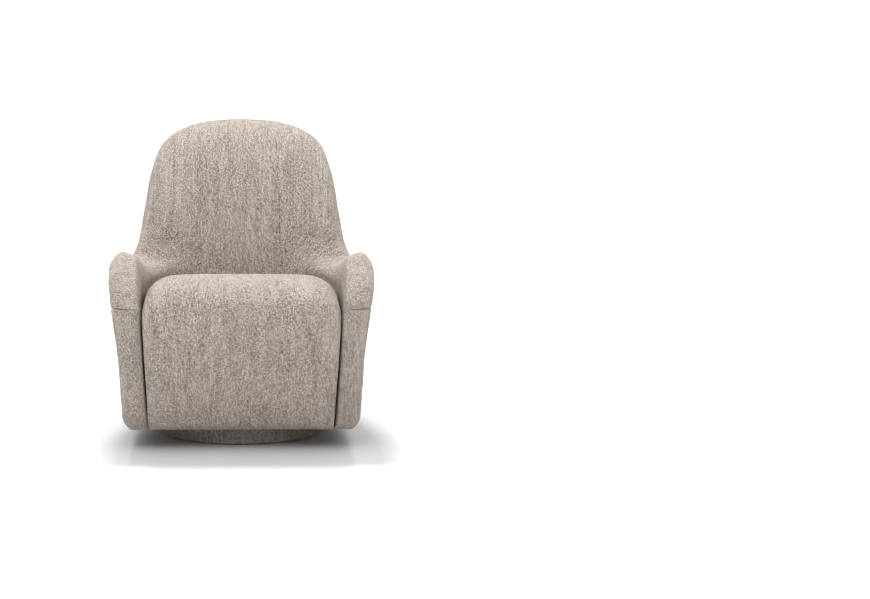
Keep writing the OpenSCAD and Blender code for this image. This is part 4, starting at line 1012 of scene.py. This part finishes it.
hem_line = hem_path(hem_thick / 2)
hem_line = np.concatenate([hem_line, np.full((len(hem_line), 1), body_lift + hem_height / 2)], axis=1)
hem_sizes = {"Width": hem_thick, "Height": hem_height, "Squareness": hem_square, "Sides": hem_sides,
             "End Rings": hem_end_rings}
hem_welt = grown("hem_welt", make_roll_tree(), hem_line, hem_sizes, finishes["boucle"])
hem_grid = points_of(hem_welt.data).reshape(len(hem_line), hem_sides, 3)
hem_closed = np.concatenate([hem_grid, hem_grid[:, :1]], axis=1)
hem_out = outward(hem_closed)[:, :-1]
hem_ease = np.linalg.norm(hem_grid - hem_line[:, None], axis=2).max(axis=1)
hem_ease = (hem_ease / hem_ease.max())[:, None]
hem_grid = hem_grid + hem_out * (uneven(hem_grid) * hem_ease)[..., None]
hem_welt.data.vertices.foreach_set("co", hem_grid.ravel())
hem_girth = np.linspace(0, 2 * hem_height, hem_sides)
hem_uv = np.stack(np.broadcast_arrays(run(hem_line[:, None], 0), hem_girth[None]), axis=-1)
finish_piece(hem_welt, "chair", hem_uv.reshape(-1, 2))
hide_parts("hem_roll")

# Plinth cloth, turned under the foot and over the top
plinth_r = 240 * mm
plinth_top = 50 * mm
plinth_corner = 8 * mm
plinth_lift = 0.5 * mm
plinth_lip_r = 180 * mm
plinth_foot_r = 218 * mm
plinth_cloth_thick = 2.6 * mm
plinth_arc_steps = 9
wrap_step = 3.5 * mm


def corner_arc(height, start):
    """A quarter turn of the plinth's rounded edge, round a point at a height."""
    angle = np.linspace(start, start + math.pi / 2, plinth_arc_steps)
    center = [plinth_r - plinth_corner, height]
    return center + plinth_corner * np.stack([np.cos(angle), np.sin(angle)], axis=-1)


def evened(line, step):
    """The same line with points about one step apart."""
    gap = np.linalg.norm(np.diff(line, axis=0), axis=1)
    place = np.concatenate([[0], np.cumsum(gap)])
    wanted = np.linspace(0, place[-1], int(place[-1] / step) + 1)
    return np.stack([np.interp(wanted, place, line[:, k]) for k in range(line.shape[1])], axis=-1)


wrap_line = evened(np.concatenate([
    [[plinth_foot_r, plinth_lift]],
    corner_arc(plinth_lift + plinth_corner, -math.pi / 2),
    corner_arc(plinth_top - plinth_corner, 0),
    [[plinth_lip_r, plinth_top]]]), wrap_step)
round_count = 360
wrap_turn = np.linspace(0, 2 * math.pi, round_count + 1)


def turned(radius, height):
    """The grid that a line of radius and height makes, turned about the swivel axis."""
    return np.stack(np.broadcast_arrays(
        np.cos(wrap_turn)[:, None] * radius, np.sin(wrap_turn)[:, None] * radius, height), axis=-1)


wrap_grid = turned(wrap_line[:, 0], wrap_line[:, 1])


def ring_slab(name, outer, inner, body, slot, uv):
    """A closed ring between two grids whose first and last rows are the same line."""
    rows, cols = outer.shape[0] - 1, outer.shape[1]
    faces = slab_faces(rows + 1, cols)
    count = (rows + 1) * cols
    seam = np.arange(2 * count).reshape(2, rows + 1, cols)
    joined = seam.copy()
    joined[:, -1] = seam[:, 0]
    ends = 2 * (cols - 1)
    skins = faces[:len(faces) - ends - 2 * rows]
    rims = faces[len(faces) - 2 * rows:]
    faces = joined.ravel()[np.concatenate([skins, rims])]
    used = np.ones((2, rows + 1, cols), bool)
    used[:, -1] = False
    order = np.cumsum(used.ravel()) - 1
    points = np.concatenate([outer.reshape(-1, 3), inner.reshape(-1, 3)])[used.ravel()]
    flat = uv.reshape(-1, 2)
    return add_piece(name, points, order[faces], body, slot, np.concatenate([flat, flat])[used.ravel()])


wrap_outer = wrap_grid + outward(wrap_grid) * np.minimum(uneven(wrap_grid), 0)[..., None]
wrap_outer[-1] = wrap_outer[0]
wrap_outer[..., 2] = np.maximum(wrap_outer[..., 2], plinth_lift)
wrap_inner = wrap_outer - outward(wrap_grid) * plinth_cloth_thick
plinth_wrap = ring_slab("plinth_wrap", wrap_outer, wrap_inner, "base", "boucle",
                        cloth_map(wrap_turn[:, None] * plinth_r, run(wrap_grid, 1)))
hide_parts("plinth_cover")

# Foam and wadding
pad_ease = 1.5 * mm
core_back_share = -27.53
core_lift_share = 0.03


def padding_under(name, grid, paddings, sink, replaced, other_side=False):
    """A pad under a cover's grid, as deep as its paddings say across the guides."""
    depth = along(np.array(paddings)[:, None] * cm, pad_v)[:, 0][None, :, None]
    normal = outward(grid)
    top_sink = pad_gap + pad_ease + sink[..., None]
    top = grid - normal * top_sink
    under = grid - normal * np.maximum(pad_gap + depth, top_sink + pad_ease)
    if other_side:
        top, under = mirrored(top), mirrored(under)
    piece = slab(name, top, under, "chair", "foam", cloth_map(run(top, 0), run(top, 1)))
    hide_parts(replaced)
    return piece


def arm_pad_sink(grid, us):
    """Where the padding gives way to the sewn edges of the arm roll, its join and its foot."""
    join_row = np.argmin(np.abs(us - join_station))
    up = run(grid, 0)
    return (groove(run(grid, 1), roll_seam_width, roll_seam_depth)
            + groove(np.abs(up - up[join_row:join_row + 1]), join_seam_width, join_seam_depth)
            + groove(up, foot_turn_width, foot_turn_depth))


pad_v = marks([12, 5, 6, 6, 8, 5, 3])
arm_pad_u = marks([10, 12, 16, 22, 20, 6, 5, 5, 5, 5, 5])
arm_pad_grid = roll_surface(arm_pad_u, pad_v)
arm_sink = arm_pad_sink(arm_pad_grid, arm_pad_u)
left_pad = padding_under("left_arm_foam", arm_pad_grid, arm_padding_shares, arm_sink, "left_arm_pad")
right_pad = padding_under("right_arm_foam", arm_pad_grid, arm_padding_shares, arm_sink, "right_arm_pad", True)
back_pad_half = marks([6, 7, 7, 7, 7, 7, 7], arm_end_station)
back_pad_half[0] = arm_end_station + join_gap_share
back_pad_u = np.concatenate([back_pad_half, 2 * top_station - back_pad_half[-2::-1]])
back_grid = roll_surface(back_pad_u, pad_v)
back_foam = padding_under("back_foam", back_grid, back_padding_shares,
                          groove(run(back_grid, 1), roll_seam_width, roll_seam_depth), "back_pad")

foam_rows = marks([5, 6, 5, 4, 4, 4, 4, 4, 5, 5, 5, 4, 4, 3, 2, 2])
foam_top = seat_surface(foam_rows, skirt_steps=2, round_steps=8, flat_steps=10)
foam_sink = pad_gap + pad_ease + groove(run(foam_top, 0), foot_turn_width, foot_turn_depth)
foam_top = foam_top - outward(foam_top) * foam_sink[..., None]
core_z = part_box("spring_felt")[1][2] / cm + core_lift_share
core = np.array([[core_back_share, z] for z in core_front_shares] + [[y, core_z] for y in core_top_shares])
core = np.stack([np.interp(foam_rows, np.arange(len(core)), core[:, k]) for k in (0, 1)], axis=-1) * cm
foam_under = foam_top.copy()
foam_under[..., 1] = core[:, None, 0]
foam_under[..., 2] = core[:, None, 1]
seat_foam = slab("seat_foam_block", foam_top, foam_under, "chair", "foam",
                 cloth_map(foam_top[..., 0], run(foam_top, 0)))
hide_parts("seat_foam")

# Soft pieces that don't show from outside
band_low, band_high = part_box("plinth_foam_band")
band_thick = 8.2 * mm
band_round = 3 * mm
band_steps = 15
band_z = np.linspace(band_low[2], band_high[2], band_steps)
band_edge = np.clip((band_z - band_low[2]) * (band_high[2] - band_z) / band_round ** 2, 0, 1)
band_r = band_high[0] - band_round * (1 - np.sqrt(band_edge))
band_outer = turned(band_r, band_z)
band_inner = turned(np.full(band_steps, band_high[0] - band_thick), band_z)
plinth_wadding = ring_slab("plinth_wadding", band_outer, band_inner, "base", "foam",
                           cloth_map(wrap_turn[:, None] * plinth_r, run(band_outer, 1)))
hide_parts("plinth_foam_band")

felt_low, felt_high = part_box("spring_felt")
felt_thick = felt_high[2] - felt_low[2]
felt_sag = 0.9 * mm
spring_pitch = 100 * mm
felt_lump_share = 0.3
felt_columns = 97
felt_rows = 61
felt_x = np.linspace(felt_high[0], felt_low[0], felt_columns)
felt_y = np.linspace(felt_low[1], felt_high[1], felt_rows)
felt_top = np.stack(np.broadcast_arrays(felt_x[None, :], felt_y[:, None], felt_high[2]), axis=-1)
felt_top[..., 2] -= felt_sag * np.sin(math.pi * felt_top[..., 0] / spring_pitch) ** 2
felt_top[..., 2] -= felt_lump_share * felt_sag * (1 + lumps(felt_top, broad_lump, seed=21)) / 2
felt_pad = slab("felt_pad", felt_top, felt_top - [0, 0, felt_thick], "chair", "felt",
                cloth_map(felt_top[..., 0], felt_top[..., 1]))
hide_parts("spring_felt")

web_low, web_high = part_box("back_webbing")
web_wide = 50 * mm
web_thick = 1.5 * mm
web_rail = 40 * mm
web_hold = 50 * mm
web_step = 5 * mm
web_lean_share = 0.314
web_count = 3
web_join = 0.01 * mm
web_spacing = (web_high[0] - web_low[0] - web_wide) / (web_count - 1)


def make_strap_tree():
    """Equal flat straps side by side, each a strip along the same line, thickened backwards."""
    tree, given, out = new_group("straps", [
        ("Path", GEOMETRY, None), ("Width", FLOAT, web_wide), ("Thickness", FLOAT, web_thick),
        ("Straps", INTEGER, web_count), ("First", VECTOR, None), ("Spacing", VECTOR, None),
        ("Finish", MATERIAL, None)], [("Straps", GEOMETRY)], "GeometryNodeTree")
    path = node(tree, "GeometryNodeMeshToCurve", {"Mesh": given.outputs["Path"]}).outputs[0]
    edges = [node(tree, "ShaderNodeCombineXYZ", {"X": times(tree, given.outputs["Width"], share)}).outputs[0]
             for share in (-0.5, 0.5)]
    across = node(tree, "GeometryNodeCurvePrimitiveLine", {"Start": edges[0], "End": edges[1]}).outputs[0]
    front = node(tree, "GeometryNodeCurveToMesh", {"Curve": path, "Profile Curve": across}).outputs[0]
    behind = node(tree, "ShaderNodeCombineXYZ", {"Y": given.outputs["Thickness"]}).outputs[0]
    back = node(tree, "GeometryNodeExtrudeMesh", {"Mesh": front, "Offset": behind, "Individual": False})
    back = node(tree, "GeometryNodeFlipFaces", {"Mesh": back.outputs["Mesh"]}).outputs[0]
    closed = node(tree, "GeometryNodeJoinGeometry", {"Geometry": back})
    tree.links.new(front, closed.inputs[0])
    strap = node(tree, "GeometryNodeMergeByDistance", {
        "Geometry": closed.outputs[0], "Distance": web_join}).outputs[0]
    places = node(tree, "GeometryNodeMeshLine", {
        "Count": given.outputs["Straps"], "Start Location": given.outputs["First"],
        "Offset": given.outputs["Spacing"]}).outputs[0]
    row = node(tree, "GeometryNodeInstanceOnPoints", {"Points": places, "Instance": strap}).outputs[0]
    return end_tree(tree, given, out, row)


web_foot = np.array([web_low[1], web_low[2]])
web_turn = web_foot + [0, web_rail]
web_end = np.array([web_high[1] - web_thick, web_high[2]])
web_bend = web_end - [web_lean_share * web_hold, web_hold]
web_line = evened(np.array([web_foot, web_turn, web_bend, web_end]), web_step)
web_line = np.concatenate([np.zeros((len(web_line), 1)), web_line], axis=1)
web_sizes = {"Width": web_wide, "Thickness": web_thick, "Straps": web_count,
             "First": (web_low[0] + web_wide / 2, 0, 0), "Spacing": (web_spacing, 0, 0)}
webbing = grown("webbing_straps", make_strap_tree(), web_line, web_sizes, make_webbing(web_wide))
web_points = points_of(webbing.data).reshape(web_count, -1, 3)
web_across = web_points[..., 0] - web_points[..., 0].mean(axis=1, keepdims=True)
web_along = np.interp(web_points[..., 2], web_line[:, 2], run(web_line[:, None], 0)[:, 0])
finish_piece(webbing, "chair", np.stack([web_across, web_along], axis=-1).reshape(-1, 2))
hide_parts("back_webbing")

dust_low, dust_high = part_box("dust_cover")
dust_thick = 0.8 * mm
dust_sag = 2.5 * mm
dust_steps = 22
dust_ease = 3 * mm
dust_step = 3 * mm
hole_half = np.array([192 * mm, 167 * mm])
dust_turn = np.linspace(-math.pi, math.pi, round_count + 1)
dust_side = hem_path(hem_thick + dust_ease)
dust_side = dust_side[dust_side[:, 1] > dust_low[1]]
dust_side = np.concatenate([[[dust_side[0, 0], dust_low[1]]], dust_side, [[dust_side[-1, 0], dust_low[1]]]])
dust_loop = evened(np.concatenate([dust_side, dust_side[:1]]), dust_step)
loop_turn = np.arctan2(dust_loop[:, 1], dust_loop[:, 0])
order = np.argsort(loop_turn)
loop_reach = np.linalg.norm(dust_loop, axis=1)
dust_reach = np.interp(dust_turn, loop_turn[order], loop_reach[order], period=2 * math.pi)
dust_way = np.stack([np.cos(dust_turn), np.sin(dust_turn)], axis=-1)
hole_reach = 1 / np.max(np.abs(dust_way) / hole_half, axis=1)
inward = np.linspace(0, 1, dust_steps)
dust_plan = dust_way[:, None] * (dust_reach[:, None] + (hole_reach - dust_reach)[:, None] * inward)[..., None]
dust_top = np.concatenate([dust_plan, np.full((*dust_plan.shape[:2], 1), dust_high[2])], axis=-1)
dust_top[..., 2] -= dust_sag * np.sin(math.pi * inward) * (1 + lumps(dust_top, broad_lump, seed=22)) / 2
dust_top[-1] = dust_top[0]
dust_cloth = ring_slab("dust_cloth", dust_top, dust_top - [0, 0, dust_thick], "chair", "cambric",
                       cloth_map(dust_top[..., 0], dust_top[..., 1]))
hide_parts("dust_cover")



# Floor, light and camera
floor_half = 30.0
sweep_start = 0.6
sweep_end = 2.4
sweep_glow = 0.5
floor_corners = np.array([(-1, -1, 0), (1, -1, 0), (1, 1, 0), (-1, 1, 0)]) * floor_half
floor = new_object("floor", floor_corners, faces=[(0, 1, 2, 3)])
floor_material, floor_tree, floor_shader = new_material("pale_floor")
floor_shader.inputs["Base Color"].default_value = (0.72, 0.72, 0.73, 1)
floor_shader.inputs["Roughness"].default_value = 0.12
floor_shader.inputs["Specular IOR Level"].default_value = 0.1
floor_place = node(floor_tree, "ShaderNodeTexCoord").outputs["Object"]
# painted light: the floor glows, from none within sweep_start of the chair to full at sweep_end and beyond,
# so the far floor reads white
floor_far = node(floor_tree, "ShaderNodeVectorMath", {0: floor_place}, operation="LENGTH").outputs["Value"]
floor_painted_glow = ramp(floor_tree, math_node(floor_tree, "DIVIDE", floor_far, sweep_end), [
    (sweep_start / sweep_end, (0, 0, 0)), (1.0, (1, 1, 1))], smooth=True)
floor_tree.links.new(floor_painted_glow, floor_shader.inputs["Emission Color"])
floor_shader.inputs["Emission Strength"].default_value = sweep_glow
floor.data.materials.append(floor_material)

sky_low = 0.2
sky_rise = 1.55
world = bpy.data.worlds.new("studio")
world.use_nodes = True
bpy.context.scene.world = world
world_tree = world.node_tree
sky = world_tree.nodes["Background"]
sky.inputs["Color"].default_value = (1, 1, 1, 1)
sky_way = node(world_tree, "ShaderNodeTexCoord").outputs["Generated"]
sky_up = node(world_tree, "ShaderNodeSeparateXYZ", {0: sky_way}).outputs["Z"]
rise = times(world_tree, math_node(world_tree, "MAXIMUM", sky_up, 0.0), sky_rise)
world_tree.links.new(plus(world_tree, rise, sky_low), sky.inputs["Strength"])
backdrop = node(world_tree, "ShaderNodeBackground", {"Color": (1, 1, 1, 1), "Strength": 1.0})
seen = node(world_tree, "ShaderNodeLightPath").outputs["Is Camera Ray"]
mix = node(world_tree, "ShaderNodeMixShader", {0: seen, 1: sky.outputs[0], 2: backdrop.outputs[0]})
world_tree.links.new(mix.outputs[0], world_tree.nodes["World Output"].inputs["Surface"])


def softbox(name, place, width, height, power):
    """A rectangular light at a place, aimed at the chair."""
    lamp = bpy.data.lights.new(name, "AREA")
    lamp.shape = "RECTANGLE"
    lamp.size, lamp.size_y, lamp.energy = width, height, power
    box = bpy.data.objects.new(name, lamp)
    bpy.context.scene.collection.objects.link(box)
    box.location = place
    box.rotation_euler = (Vector(light_aim) - Vector(place)).to_track_quat("-Z", "Y").to_euler()


light_aim = (0, 0, 0.4)
softbox("top_softbox", place=(-0.3, 2.3, 6.0), width=1.0, height=1.0, power=325)
softbox("front_softbox", place=(-0.9, -3.3, 3.0), width=2.0, height=1.6, power=31)

scene = bpy.context.scene
camera_data = bpy.data.cameras.new("camera")
camera = bpy.data.objects.new("camera", camera_data)
scene.collection.objects.link(camera)
scene.camera = camera
sensor_width = 36
photo_width = 870
focal_pixels = 2887.8
camera_data.sensor_width = sensor_width
camera_data.lens = focal_pixels * sensor_width / photo_width
camera_place = Vector((0, -8.17, 1.61))
pan, tilt, roll = (math.radians(a) for a in (3.873, 8.575, 0.573))
right = Vector((math.cos(pan), -math.sin(pan), 0))
ahead = Vector((math.sin(pan) * math.cos(tilt), math.cos(pan) * math.cos(tilt), -math.sin(tilt)))
up = right.cross(ahead)
right, up = (math.cos(roll) * right + math.sin(roll) * up, math.cos(roll) * up - math.sin(roll) * right)
camera.matrix_world = Matrix.Translation(camera_place) @ Matrix((right, up, -ahead)).transposed().to_4x4()
scene.view_settings.view_transform = "Standard"
scene.cycles.filter_width = 1.0
